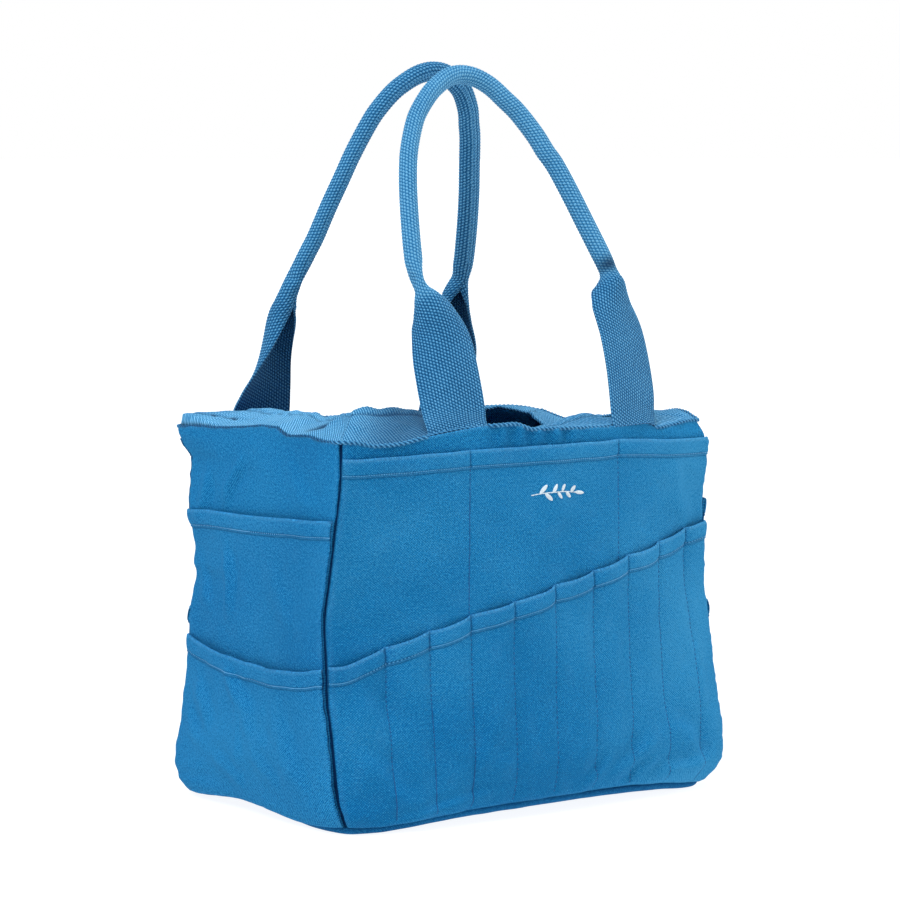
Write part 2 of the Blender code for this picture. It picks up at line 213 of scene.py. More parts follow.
def plan(loop, z):
    """Plan point and outward normal at a loop place and height z."""
    loop, z = np.broadcast_arrays(np.asarray(loop, float), np.asarray(z, float))
    side, frac = split_loop(loop)
    column = np.array(SIDE_START)[side] + frac * np.array(SIDE_POINTS)[side]
    left = np.floor(column).astype(int)
    part = (column - left)[..., None]
    left, right = left % LOOP_POINTS, (left + 1) % LOOP_POINTS
    row = (np.clip(z, HEIGHTS[0], HEIGHTS[-1] - 1e-9) - HEIGHTS[0]) / (HEIGHTS[1] - HEIGHTS[0])
    low = np.floor(row).astype(int)
    rise = (row - low)[..., None]
    high = np.minimum(low + 1, len(HEIGHTS) - 1)

    def pick(grid):
        return ((grid[low, left] * (1 - part) + grid[low, right] * part) * (1 - rise)
                + (grid[high, left] * (1 - part) + grid[high, right] * part) * rise)

    return pick(PLAN), unit(pick(PLAN_NORMALS))


# ---------------------------------------------------------------- soft folds
# folds of each side in mm: start distance and height, end distance and height, half width, depth;
# distance is measured along the side from its first corner
FOLDS = (
    ((22, 250, 44, 190, 14, 0.9), (34, 176, 70, 138, 13, 0.8), (190, 250, 168, 196, 15, 0.8),
     (301, 256, 331, 210, 12, 1.5), (225, 16, 262, 52, 9, 1.7), (262, 12, 330, 33, 8, 1.7),
     (200, 12, 226, 42, 7, 1.4), (240, 10, 272, 32, 6, 1.3), (20, 9, 126, 19, 5, 0.8),
     (168, 250, 200, 222, 10, 0.8), (130, 100, 118, 40, 9, 0.7), (26, 112, 50, 60, 12, 1.2),
     (10, 60, 62, 22, 10, 1.5), (110, 60, 130, 24, 10, 0.7), (318, 120, 330, 60, 10, 1.2),
     (286, 60, 322, 24, 10, 1.7), (220, 90, 236, 40, 12, 0.6), (60, 262, 86, 240, 8, 0.7)),
    ((40, 250, 66, 196, 10, 1.2), (150, 240, 128, 182, 11, 1.1), (60, 120, 96, 70, 10, 1.3),
     (170, 110, 150, 48, 10, 1.2), (20, 60, 60, 24, 9, 1.2), (110, 60, 160, 30, 9, 1.0)),
    ((40, 240, 70, 180, 13, 1.1), (150, 250, 132, 196, 13, 0.9), (250, 240, 276, 176, 13, 1.0),
     (60, 110, 96, 50, 12, 1.2), (210, 110, 180, 44, 13, 1.0), (310, 90, 286, 30, 11, 1.3),
     (20, 50, 66, 22, 9, 1.2)),
    ((93, 262, 64, 224, 7, 1.5), (66, 196, 80, 146, 8, 1.5), (82, 113, 118, 76, 8, 1.6),
     (35, 250, 22, 205, 9, 1.3), (140, 190, 172, 140, 12, 0.9), (150, 262, 190, 236, 9, 0.7),
     (28, 96, 60, 52, 10, 1.2), (150, 96, 186, 30, 13, 1.3), (60, 40, 104, 22, 8, 1.1),
     (12, 178, 40, 150, 8, 1.2), (120, 60, 150, 26, 8, 0.9), (13, 76, 50, 44, 9, 1.3),
     (100, 84, 142, 56, 9, 1.0), (97, 98, 99, 14, 5, 0.5)),
)
FOLD_GAIN = (2.3, 2.3, 2.3, 2.4)
# heights over which the folds die out below the sewn top edge; the front's run on to the rim
TOP_CALM = (None, (0.283, 0.262), (0.283, 0.262), (0.290, 0.272))
SLOW_WAVES = [Waves(11 + side, 0.045, 0.15) for side in range(4)]
QUICK_WAVES = [Waves(31 + side, 0.014, 0.035, 9) for side in range(4)]


def warp(side, frac, z):
    """Outward unevenness shared by a wall and every layer sewn on it."""
    run = frac * SIDE_LENGTH[side]
    keep = smooth(0.004, 0.030, run) * smooth(0.004, 0.030, SIDE_LENGTH[side] - run)
    if TOP_CALM[side]:
        keep = keep * smooth(*TOP_CALM[side], z)
    out = keep * (0.85 * SLOW_WAVES[side](run, z) + 0.16 * QUICK_WAVES[side](run, z))
    for run0, z0, run1, z1, width, depth in FOLDS[side]:
        length = math.hypot(run1 - run0, z1 - z0) * MM
        way_run, way_z = (run1 - run0) * MM / length, (z1 - z0) * MM / length
        from_run, from_z = run - run0 * MM, z - z0 * MM
        along = (from_run * way_run + from_z * way_z) / length
        across = (-from_run * way_z + from_z * way_run) / (width * MM)
        across = across + 0.35 * np.sin(along * 4.0 + run0)
        fade = smooth(-0.15, 0.3, along) * smooth(1.15, 0.7, along)
        shape = (0.35 - 1.5 * across) * np.exp(-across * across)
        out = out + FOLD_GAIN[side] * depth * fade * keep * shape
    if side == 0:       # small upright ripples where the mouth sinks between the handle legs
        out = out + (1.7 * np.sin(2 * PI * (run - 0.012) / 0.0165) * smooth(0.112, 0.130, run)
                     * smooth(0.215, 0.185, run) * smooth(0.262, 0.284, z))
    return out * MM


# (distance from the side's middle, height of the bottom edge off the floor) in mm, each side
LIFTS = (
    ((-165, 0), (-140, 0.2), (-124, 1.2), (-108, 2.5), (-92, 3.8), (-75, 5), (-40, 6.4), (0, 6.9),
     (33, 6.9), (73, 6.2), (94, 5), (116, 3.6), (138, 1.3), (160, 0)),
    ((-100, 0), (-60, 2.4), (0, 4.6), (60, 2.8), (100, 0)),
    ((-165, 0), (-110, 2.4), (0, 5.6), (110, 2.8), (165, 0)),
    ((-103, 0.2), (-81, 1.5), (-52, 4.5), (-25, 5.9), (3, 5), (29, 2.7), (56, 0.6), (82, 0.2),
     (103, 0)),
)


def lift_of(loop):
    """The bag stands on its corners: how far the bottom edge is off the floor round the loop."""
    side, frac = split_loop(loop)
    along = (frac - 0.5) * np.where(side % 2 == 0, 2 * HALF_X, 2 * HALF_Y)
    return np.choose(side, [curve_mm(along, lift) for lift in LIFTS])


def place(side, frac, z, off):
    """Points of a sheet, off metres outside the plan line."""
    points, normals = plan(side + frac, z)
    points = points + normals * (off + warp(side, frac, z))[..., None]
    x, y = points[..., 0], points[..., 1]
    lift = lift_of(side + np.asarray(frac)) * smooth(0.060, 0.010, z)
    return np.stack([x, y, np.broadcast_to(z + lift, x.shape)], -1)


# height of the canvas top edge in mm: the front against x, the left against y (mm),
# the right and the back against frac
TOP_FRONT = ((-172, 281.2), (-158.5, 280.5), (-142.7, 277.7), (-124.2, 278.5), (-112.5, 280.6),
             (-105.3, 282.2), (-58.6, 288), (-30, 288.8), (-12.3, 284.2), (11.6, 283.8),
             (54.1, 282.8), (99.7, 283.6), (117.3, 279), (158.8, 281.9), (172, 281.2))
TOP_LEFT = ((-106, 281.2), (-89.2, 280.9), (-78, 281.9), (-66.6, 283.5), (-45.3, 282.3),
            (-35.6, 284.6), (-28.1, 287.3), (-12.8, 287.3), (8.6, 285.2), (52, 282),
            (67.6, 281.7), (95, 279.5), (106, 279))
TOP_RIGHT = ((0, 281.2), (0.04, 283), (0.09, 285.8), (0.15, 286.8), (0.21, 285.4), (0.27, 282.6),
             (0.36, 280), (0.5, 278.5), (0.59, 276.5), (0.69, 273.8), (0.79, 270.8),
             (0.84, 269.8), (0.89, 271.2), (0.95, 273.8), (1, 275.8))
TOP_BACK = ((0, 275.8), (0.04, 278.2), (0.08, 279.7), (0.12, 280), (0.15, 280), (0.24, 280.2),
            (0.36, 278), (0.48, 277.5), (0.6, 277.8), (0.7, 278.5), (0.8, 280.5), (0.9, 279.5),
            (1, 279))


def top_z(loop):
    """Height of the canvas top edge all the way round."""
    side, frac = split_loop(loop)
    return np.choose(side, [
        curve_mm((frac - 0.5) * 2 * HALF_X, TOP_FRONT),
        curve(frac, TOP_RIGHT) * MM,
        curve(frac, TOP_BACK) * MM,
        curve_mm((0.5 - frac) * 2 * HALF_Y, TOP_LEFT),
    ])


# ---------------------------------------------------------------- meshes
def add_attribute(mesh, key, value):
    value = np.asarray(value, np.float32)
    vector = value.ndim == 2
    attribute = mesh.attributes.new(key, "FLOAT_VECTOR" if vector else "FLOAT", "POINT")
    attribute.data.foreach_set("vector" if vector else "value", value.ravel())


def mesh_object(name, verts, quads, material, tris=(), attrs=None):
    """A smooth mesh whose faces are turned to look outward."""
    verts = np.asarray(verts, float).reshape(-1, 3)
    quads = np.asarray(quads, int).reshape(-1, 4)
    tris = np.asarray(tris, int).reshape(-1, 3)
    halves = np.concatenate([quads[:, :3], quads[:, [0, 2, 3]], tris])
    first, second, third = (verts[halves[:, i]] for i in range(3))
    if np.einsum("ij,ij->i", first, np.cross(second, third)).sum() < 0:
        quads, tris = quads[:, ::-1], tris[:, ::-1]
    mesh = bpy.data.meshes.new(name)
    mesh.vertices.add(len(verts))
    mesh.vertices.foreach_set("co", verts.astype(np.float32).ravel())
    corners = np.concatenate([quads.ravel(), tris.ravel()]).astype(np.int32)
    mesh.loops.add(len(corners))
    mesh.loops.foreach_set("vertex_index", corners)
    totals = np.repeat([4, 3], [len(quads), len(tris)]).astype(np.int32)
    starts = np.concatenate([[0], np.cumsum(totals)[:-1]]).astype(np.int32)
    mesh.polygons.add(len(totals))
    mesh.polygons.foreach_set("loop_start", starts)
    mesh.polygons.foreach_set("loop_total", totals)
    mesh.polygons.foreach_set("use_smooth", np.full(len(totals), True))
    mesh.update(calc_edges=True)
    mesh.validate()
    for key, value in (attrs or {}).items():
        add_attribute(mesh, key, value)
    mesh.materials.append(material)
    obj = bpy.data.objects.new(name, mesh)
    bpy.context.scene.collection.objects.link(obj)
    return obj


def settle(obj, slot, *nodes, body="bag"):
    """Tell the frame which body a piece rides on and hide the CAD pieces it replaces; slot is not
    used.
    """
    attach(obj, body)
    if nodes:
        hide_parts(*nodes)


def ring_faces(rows, cols, wrap=False):
    """Quads of rows of cols points, each row a closed ring; wrap joins the last row to the first."""
    i = np.arange(rows if wrap else rows - 1)[:, None]
    j = np.arange(cols)[None, :]
    i2, j2 = (i + 1) % rows, (j + 1) % cols
    return np.stack([i * cols + j, i2 * cols + j, i2 * cols + j2, i * cols + j2], -1).reshape(-1, 4)


def strip_faces(rows, cols):
    """Ring faces and end caps of a strip whose section folds back: point j faces cols - 1 - j."""
    quads, tris = [], []
    for first, flip in ((0, True), ((rows - 1) * cols, False)):
        for j in range((cols - 1) // 2):
            face = [first + j, first + j + 1, first + cols - 2 - j, first + cols - 1 - j]
            if face[1] == face[2]:
                del face[2]
            (tris if len(face) == 3 else quads).append(face[::-1] if flip else face)
    return np.concatenate([ring_faces(rows, cols), np.array(quads)]), tris


def end_fans(rows, cols, base=0):
    """Triangle fans over the first and last ring."""
    tris = []
    for first, flip in ((base, True), (base + (rows - 1) * cols, False)):
        for j in range(1, cols - 1):
            face = [first, first + j, first + j + 1]
            tris.append(face[::-1] if flip else face)
    return tris


def hubbed_rings(rings, low_z, high_z):
    """Rings closed to a point on the z axis at both ends: vertices, quads, triangles."""
    section = np.stack(rings, 0)
    rows, cols = section.shape[:2]
    verts = np.concatenate([section.reshape(-1, 3), [[0, 0, low_z], [0, 0, high_z]]])
    low, last = rows * cols, (rows - 1) * cols
    tris = []
    for j in range(cols):
        j2 = (j + 1) % cols
        tris += [[low, j2, j], [low + 1, last + j, last + j2]]
    return verts, ring_faces(rows, cols), tris


FADES = [Waves(601 + side, 0.05, 0.16, 6) for side in range(4)]


def fade_and_painted_light(side, frac, z):
    """How much paler (above 0) or darker (below 0) the cloth is coloured. On the front it is lighter
    to the right, partly real fading and partly painted light from the right, with painted shade low
    in the middle and towards the left; on the other sides it is paler, more so low down; waves of
    uneven fading run over all.
    """
    if side == 0:
        even = (0.66 * smooth(0.58, 0.92, frac) * (1 - 0.45 * smooth(0.93, 1.0, frac))
                - 0.52 * bump(frac - 0.41, 0.22) * smooth(0.16, 0.06, z)
                - 0.25 * smooth(0.36, 0.08, frac) * smooth(0.17, 0.08, z)
                - 0.10 * smooth(0.40, 0.10, frac))
    else:
        even = 0.10 + 0.24 * smooth(0.13, 0.06, z)
    return even + 0.17 * FADES[side](frac * SIDE_LENGTH[side], z)


# mesh rows near a sheet's lip, metres below it; the rest are evenly spaced
LIP_ROWS = np.array((0, 0.35, 0.8, 1.6, 2.8, 4.4, 6.2, 8.0, 9.4, 10.2, 10.7, 11.2, 11.7, 12.2, 12.8,
                     13.8, 15.2, 17.2, 20.0)) * MM
SHEET_ROW = 2.1 * MM


def sheet(name, side, columns, low, top, off, thickness, material, wear_and_crown_highlight, painted_shade, layer):
    """A cloth panel open at its rounded top edge.

    columns are fracs with bottom and top heights low and top. off, thickness, wear and dark are
    functions of (frac, z, drop), where drop is the distance down from the lip.
    """
    count = len(columns)
    near = LIP_ROWS[-1]
    spread = np.linspace(0, 1, int(np.ceil((top - low).max() / SHEET_ROW)))[1:]
    drop = np.concatenate([np.broadcast_to(LIP_ROWS, (count, len(LIP_ROWS))),
                           near + (top - low - near)[:, None] * spread], 1)[:, ::-1]
    frac = np.broadcast_to(columns[:, None], drop.shape)
    z = top[:, None] - drop
    face, thick = off(frac, z, drop), thickness(frac, z, drop)
    outer, inner = place(side, frac, z, face), place(side, frac, z, face - thick)
    angle = np.radians([[45.0, 90.0, 135.0]])
    middle, radius = (face - thick / 2)[:, -1:], thick[:, -1:] / 2
    lip_z = np.broadcast_to(top[:, None], (count, 3))
    lip = place(side, np.broadcast_to(columns[:, None], (count, 3)), lip_z,
                middle + radius * np.cos(angle))
    lip[..., 2] += radius * np.sin(angle)
    section = np.concatenate([outer, lip, inner[:, ::-1]], 1)
    rows, cols = section.shape[:2]
    quads, tris = strip_faces(rows, cols)
    run = np.broadcast_to(columns[:, None] * SIDE_LENGTH[side], (rows, cols))
    height = np.concatenate([z, lip_z, z[:, ::-1]], 1)
    cloth = np.stack([run, height, np.full((rows, cols), layer)], -1).reshape(-1, 3)

    def over_all(values):
        at_lip = np.broadcast_to(values[:, -1:], (count, 3))
        return np.concatenate([values, at_lip, 0.3 * values[:, ::-1]], 1).ravel()

    return mesh_object(name, section, quads, material, tris, {
        "wv": cloth, "wear_and_crown_highlight": over_all(wear_and_crown_highlight(frac, z, drop)), "painted_shade": over_all(painted_shade(frac, z, drop)),
        "pale": over_all(fade_and_painted_light(side, frac, z))})


def tube(name, line, material, sides, radii, up=(0, 0, 1), closed=False, swell=1.0, attrs=None):
    """An oval cord along a line. radii are (along up, across); swell scales each vertex's radius."""
    ends = np.roll(line, -1, 0) - np.roll(line, 1, 0) if closed else np.gradient(line, axis=0)
    tangent = unit(ends)
    across = unit(np.cross(tangent, up))
    rise = np.cross(across, tangent)
    angle = (np.arange(sides) * 2 * PI / sides)[None, :, None]
    section = line[:, None] + (rise[:, None] * np.cos(angle) * radii[0]
                               + across[:, None] * np.sin(angle) * radii[1]
                               ) * np.asarray(swell)[..., None]
    count = len(line)
    tris = () if closed else end_fans(count, sides)
    return mesh_object(name, section, ring_faces(count, sides, closed), material, tris, attrs)


def resample(line, step):
    """The line at even steps, with the distance of each new point along it."""
    lengths = np.linalg.norm(np.diff(line, axis=0), axis=1)
    run = np.concatenate([[0], np.cumsum(lengths)])
    even = np.linspace(0, run[-1], max(2, int(round(run[-1] / step)) + 1))
    return np.stack([np.interp(even, run, column) for column in line.T], 1), even


# one stitch from end to end: (place along its half length, share of its radius)
STITCH_SHAPE = np.array([(-1.0, 0.05), (-0.86, 0.62), (-0.45, 1.0), (0.45, 1.0), (0.86, 0.62),
                         (1.0, 0.05)])


def stitches(name, line, normals, material, pitch, length, radius, sink=0.15):
    """Separate stitches lying on a line, normals pointing off the cloth. Sizes in millimetres."""
    both, run = resample(np.concatenate([line, normals], 1), 0.4 * MM)

    def at(distance):
        return np.array([np.interp(distance, run, column) for column in both.T])

    count = int(run[-1] / (pitch * MM))
    start = (run[-1] - count * pitch * MM) / 2
    half = 0.5 * length * MM
    angle = (np.arange(6) * PI / 3)[None, :, None]
    reach = (STITCH_SHAPE[:, 0] * half)[:, None, None]
    girth = (STITCH_SHAPE[:, 1] * radius * MM)[:, None, None]
    verts, quads, tris = [], [], []
    for i in range(count):
        middle = start + (i + 0.5) * pitch * MM
        centre, normal = np.split(at(middle), 2)
        normal = unit(normal)
        tangent = unit((at(middle + half) - at(middle - half))[:3])
        across = np.cross(normal, tangent)
        round_it = normal * (np.cos(angle) - sink / radius) + across * np.sin(angle) * 1.15
        verts.append((centre + tangent * reach + round_it * girth).reshape(-1, 3))
        quads.append(ring_faces(6, 6) + 36 * i)
        tris += end_fans(6, 6, 36 * i)
    return mesh_object(name, np.concatenate(verts), np.concatenate(quads), material, tris)


def column_places(start, end, step, seams):
    """Evenly spaced places from start to end, with extra ones close to each seam and each end."""
    even = np.linspace(start, end, max(2, int(round((end - start) / step)) + 1))
    places = [x for x in even if all(abs(x - seam) > 4.2 * MM for seam in seams)]
    for seam in seams:
        places += [seam + sign * away * MM for away in (0, 0.45, 1, 2, 3.6) for sign in (-1, 1)]
    for away in (0.4, 0.9, 1.6, 2.6):
        places += [start + away * MM, end - away * MM]
    places = sorted({round(x, 6) for x in places if start - 1e-9 <= x <= end + 1e-9})
    keep = [places[0]]
    for x in places[1:]:
        if x - keep[-1] > 0.18 * MM:
            keep.append(x)
    return np.array(keep)


# ---------------------------------------------------------------- materials
class Shader:
    """A short way to write a node tree."""

    def __init__(self, name):
        self.material = bpy.data.materials.new(name)
        self.material.use_nodes = True
        self.tree = self.material.node_tree
        self.bsdf = self.tree.nodes["Principled BSDF"]

    def new(self, kind, **props):
        node = self.tree.nodes.new(kind)
        for key, value in props.items():
            setattr(node, key, value)
        return node

    def put(self, socket, value):
        if isinstance(value, bpy.types.NodeSocket):
            self.tree.links.new(value, socket)
        else:
            socket.default_value = value

    def surface(self, values):
        for key, value in values.items():
            self.put(self.bsdf.inputs[key], value)

    def math(self, operation, *values, clamp=False):
        node = self.new("ShaderNodeMath", operation=operation, use_clamp=clamp)
        for socket, value in zip(node.inputs, values):
            self.put(socket, value)
        return node.outputs[0]

    def add(self, first, second):
        return self.math("ADD", first, second)

    def mul(self, first, second, clamp=False):
        return self.math("MULTIPLY", first, second, clamp=clamp)

    def stretch(self, vector, scales):
        node = self.new("ShaderNodeVectorMath", operation="MULTIPLY")
        self.put(node.inputs[0], vector)
        node.inputs[1].default_value = scales
        return node.outputs[0]

    def split(self, vector):
        node = self.new("ShaderNodeSeparateXYZ")
        self.put(node.inputs[0], vector)
        return node.outputs

    def attr(self, name, output="Fac"):
        return self.new("ShaderNodeAttribute", attribute_name=name).outputs[output]

    def object_place(self):
        return self.new("ShaderNodeTexCoord").outputs["Object"]

    def noise(self, vector, scale, detail=3.0, rough=0.55):
        node = self.new("ShaderNodeTexNoise")
        self.put(node.inputs["Vector"], vector)
        node.inputs["Scale"].default_value = scale
        node.inputs["Detail"].default_value = detail
        node.inputs["Roughness"].default_value = rough
        return node.outputs["Fac"]

    def wobble(self, vector, scale, size, rough=0.55):
        """Noise of +-size/2, to bend the yarns."""
        noise = self.noise(vector, scale, detail=2.0, rough=rough)
        return self.mul(self.math("SUBTRACT", noise, 0.5), size)

    def ramp(self, value, span, to=(0.0, 1.0)):
        """Map span to the range to."""
        node = self.new("ShaderNodeMapRange")
        self.put(node.inputs["Value"], value)
        for key, number in zip(("From Min", "From Max", "To Min", "To Max"), (*span, *to)):
            node.inputs[key].default_value = number
        return node.outputs["Result"]

    def swing(self, noise, size):
        """Noise stretched to +-size."""
        return self.ramp(noise, span=(0.25, 0.75), to=(-size, size))

    def mix(self, factor, low, high):
        node = self.new("ShaderNodeMix", data_type="RGBA", blend_type="MIX")
        for key, value in (("Factor", factor), ("A", low), ("B", high)):
            if isinstance(value, tuple):
                value = (*value, 1.0)
            self.put(node.inputs[key], value)
        return node.outputs["Result"]

    def shade(self, colour, deep):
        """Painted shade: darken towards a shadow colour by the shade attribute made beforehand on
        self.
        """
        shadow = (deep[0] * 0.25, deep[1] * 0.30, deep[2] * 0.38)
        return self.mix(self.mul(self.painted_shade, 0.85, clamp=True), colour, shadow)

    def bump(self, height, strength, distance):
        node = self.new("ShaderNodeBump")
        self.put(node.inputs["Height"], height)
        node.inputs["Strength"].default_value = strength
        node.inputs["Distance"].default_value = distance
        return node.outputs["Normal"]


def canvas(name, base, light, deep, pitch=1.9 * MM, grain=1.0, nap=0.5):
    """Washed plain-weave cotton: threads both ways, slubs, uneven dye and paler worn edges, with
    painted light and painted shade laid on by vertex attributes.
    """
    mat = Shader(name)
    cloth = mat.attr("wv", "Vector")
    axes = mat.split(cloth)
    wobble = mat.wobble(cloth, scale=120.0, size=0.0014, rough=0.6)
    x = mat.add(axes[0], wobble)
    y = mat.add(axes[1], wobble)
    threads_x = mat.math("SINE", mat.mul(x, 2 * PI / pitch))
    threads_y = mat.math("SINE", mat.mul(y, 2 * PI / (pitch * 0.94)))
    weave = mat.mul(threads_x, threads_y)
    slub_up = mat.noise(mat.stretch(cloth, (220.0, 1500.0, 1.0)), scale=1.0, detail=2.0)
    slub_along = mat.noise(mat.stretch(cloth, (1500.0, 220.0, 1.0)), scale=1.0, detail=2.0)
    fine = mat.noise(cloth, scale=1400.0, rough=0.7)
    fuzz = mat.noise(cloth, scale=420.0, detail=4.0, rough=0.65)
    dye = mat.noise(cloth, scale=13.0, detail=4.0, rough=0.6)
    blotch = mat.noise(cloth, scale=55.0, detail=4.0, rough=0.6)
    wear_and_crown_highlight = mat.attr("wear_and_crown_highlight")
    mat.painted_shade = mat.attr("painted_shade")
    # tone: below 0 towards deep, above 0 towards light
    tone = mat.add(mat.swing(dye, size=0.19), mat.swing(blotch, size=0.035))
    grit = mat.noise(cloth, scale=880.0, detail=2.0, rough=0.6)
    tone = mat.add(tone, mat.swing(grit, size=1.15 * grain))
    coarse = mat.noise(cloth, scale=500.0, detail=2.0, rough=0.5)
    tone = mat.add(tone, mat.swing(coarse, size=nap))
    tone = mat.add(tone, mat.mul(weave, 0.95 * grain))
    # the pale attribute adds the cloth's fading together with painted light and painted shade
    tone = mat.add(tone, mat.attr("pale"))
    lighter = mat.mul(mat.math("MAXIMUM", tone, 0.0), 0.85, clamp=True)
    colour = mat.mix(lighter, base, light)
    deeper = mat.mul(mat.math("MAXIMUM", mat.mul(tone, -1.0), 0.0), 0.95, clamp=True)
    colour = mat.mix(deeper, colour, deep)
    patchy = mat.ramp(mat.add(fuzz, mat.mul(fine, 0.5)), span=(0.45, 1.05), to=(0.15, 1.0))
    worn = (light[0] * 2.6 + 0.03, light[1] * 1.35 + 0.02, light[2] * 1.18 + 0.02)
    colour = mat.mix(mat.mul(wear_and_crown_highlight, patchy, clamp=True), colour, worn)
    mat.surface({
        "Base Color": mat.shade(colour, deep),
        "Roughness": mat.ramp(fine, span=(0.2, 0.8), to=(0.86, 0.98)),
        "Specular IOR Level": 0.05,
        "Sheen Weight": 0.03,
        "Sheen Roughness": 0.5,
        "Sheen Tint": (0.45, 0.80, 1.0, 1.0),
    })
    height = mat.add(mat.mul(weave, 1.2), mat.add(mat.mul(slub_up, 0.9), mat.mul(slub_along, 0.9)))
    height = mat.add(height, mat.mul(fuzz, 0.8))
    mat.surface({"Normal": mat.bump(height, strength=0.8 * grain, distance=0.00022)})
    return mat.material


def yarn_ovals(mat, cloth, width, length, rib):
    """Each yarn as a row of ovals, the next one staggered by half: 1 on their crowns.

    rib draws the ovals together into cords.
    """
    axes = mat.split(cloth)
    wobble = mat.wobble(cloth, scale=240.0, size=0.0007)
    y = mat.math("DIVIDE", mat.add(axes[1], wobble), width)
    yarn = mat.math("FLOOR", mat.add(y, 0.5))
    across = mat.mul(mat.math("SUBTRACT", y, yarn), 2.0)
    x = mat.add(mat.math("DIVIDE", mat.add(axes[0], wobble), length),
                mat.mul(mat.math("MODULO", mat.math("ABSOLUTE", yarn), 2.0), 0.5))
    oval = mat.math("FLOOR", mat.add(x, 0.5))
    along = mat.mul(mat.math("SUBTRACT", x, oval), 2.0 * (1 - rib))
    slant = mat.add(across, mat.mul(along, 0.30 * (1 - rib)))

    def squared(value, share):
        return mat.mul(mat.math("POWER", mat.math("ABSOLUTE", value), 2.0), share)

    radius = mat.math("SQRT", mat.add(squared(slant, share=0.95), squared(along, share=0.80)))
    return mat.ramp(radius, span=(1.02, 0.22))


def webbing(name, base, light, deep, yarn_width=None, oval_length=None, rib=0.0):
    """Thick woven cotton tape, lighter on the yarns' crowns, partly wear and partly painted
    highlight, and darker between them as painted shade. Without yarn_width a vertex attribute gives
    the yarns' crowns.
    """
    mat = Shader(name)
    cloth = mat.attr("wv", "Vector")
    mat.painted_shade = mat.attr("painted_shade")
    fine = mat.noise(cloth, scale=1700.0, rough=0.7)
    fuzz = mat.noise(cloth, scale=600.0, detail=4.0, rough=0.65)
    dye = mat.noise(cloth, scale=22.0, detail=4.0, rough=0.6)
    if yarn_width:
        crown = yarn_ovals(mat, cloth, yarn_width, oval_length, rib)
    else:
        crown = mat.attr("wear_and_crown_highlight")
    tone = mat.add(crown, mat.swing(fuzz, size=0.22))
    tone = mat.add(tone, mat.swing(dye, size=0.10))
    tone = mat.add(tone, mat.mul(mat.attr("pale"), 0.32))
    # deep between the yarns as painted shade; light on their crowns, partly wear and partly painted
    # highlight
    colour = mat.mix(mat.ramp(tone, span=(0.0, 0.50)), deep, base)
    colour = mat.mix(mat.ramp(tone, span=(0.50, 1.10), to=(0.0, 0.95)), colour, light)
    mat.surface({
        "Base Color": mat.shade(colour, deep),
        "Roughness": mat.ramp(fine, span=(0.2, 0.8), to=(0.80, 0.95)),
        "Specular IOR Level": 0.15,
        "Sheen Weight": 0.10,
        "Sheen Roughness": 0.5,
        "Sheen Tint": (0.6, 0.85, 1.0, 1.0),
    })
    height = mat.add(mat.mul(crown, 2.2), mat.mul(fine, 0.5))
    mat.surface({"Normal": mat.bump(height, strength=0.75, distance=0.00022)})
    return mat.material


def plain(name, base, other, scale, rough, fibre_scale=900.0, strength=0.3, sheen=0.2):
    """Thread, cord and board: two near colours mixed by noise, with a fibrous surface."""
    mat = Shader(name)
    place_in = mat.object_place()
    noise = mat.noise(place_in, scale=scale)
    fibre = mat.noise(place_in, scale=fibre_scale, rough=0.7)
    mat.surface({
        "Base Color": mat.mix(mat.ramp(noise, span=(0.3, 0.7)), base, other),
        "Roughness": mat.ramp(fibre, span=(0.2, 0.8), to=(rough - 0.08, min(1.0, rough + 0.08))),
        "Specular IOR Level": 0.25,
        "Sheen Weight": sheen,
        "Normal": mat.bump(fibre, strength=strength, distance=0.0002),
    })
    return mat.material


CANVAS = canvas("canvas_body", base=(0.0070, 0.190, 0.450), light=(0.030, 0.285, 0.570),
                deep=(0.0030, 0.115, 0.320), grain=1.45, nap=0.90)
POCKET_CANVAS = canvas("canvas_pocket", base=(0.0090, 0.188, 0.428), light=(0.046, 0.290, 0.545),
                       deep=(0.0040, 0.112, 0.300))
SIDE_CANVAS = canvas("canvas_side_pocket", base=(0.0075, 0.190, 0.455),
                     light=(0.034, 0.290, 0.580), deep=(0.0035, 0.115, 0.320), grain=1.6, nap=0.90)
# the base: the body canvas made darker, as painted shade for the strip under the walls' bulge
SHADED_BASE_CANVAS = canvas("canvas_base_painted_shade", base=(0.0070, 0.120, 0.310), light=(0.022, 0.190, 0.410),
                     deep=(0.003, 0.075, 0.220))
# each webbing's light colour goes on the yarn crowns, partly as painted highlight, and its deep
# colour between the yarns as painted shade; the rim's light colour, brighter than the handles', is a
# painted highlight for the sheen along its top
HANDLE_WEB = webbing("webbing_handle", base=(0.026, 0.180, 0.385), light=(0.170, 0.440, 0.670),
                     deep=(0.003, 0.055, 0.150), yarn_width=TAPE_WIDTH / (TAPE_COLUMNS / 2),
                     oval_length=4 * TAPE_ROW)
RIM_WEB = webbing("webbing_rim", base=(0.034, 0.240, 0.490), light=(0.270, 0.620, 0.900),
                  deep=(0.003, 0.085, 0.225), yarn_width=2.5 * MM, oval_length=2.7 * MM, rib=0.45)
SELVEDGE = webbing("webbing_selvedge", base=(0.026, 0.185, 0.400), light=(0.190, 0.490, 0.740),
                   deep=(0.001, 0.022, 0.075))
BINDING = canvas("binding_tape", base=(0.010, 0.120, 0.320), light=(0.030, 0.200, 0.430),
                 deep=(0.005, 0.080, 0.230), pitch=0.8 * MM)
HEM_THREAD = plain("thread_hem", base=(0.060, 0.330, 0.640), other=(0.110, 0.400, 0.700),
                   scale=400.0, rough=0.62)
DIVIDER_THREAD = plain("thread_divider", base=(0.0030, 0.070, 0.215),
                       other=(0.0060, 0.105, 0.290), scale=400.0, rough=0.70, sheen=0.05)
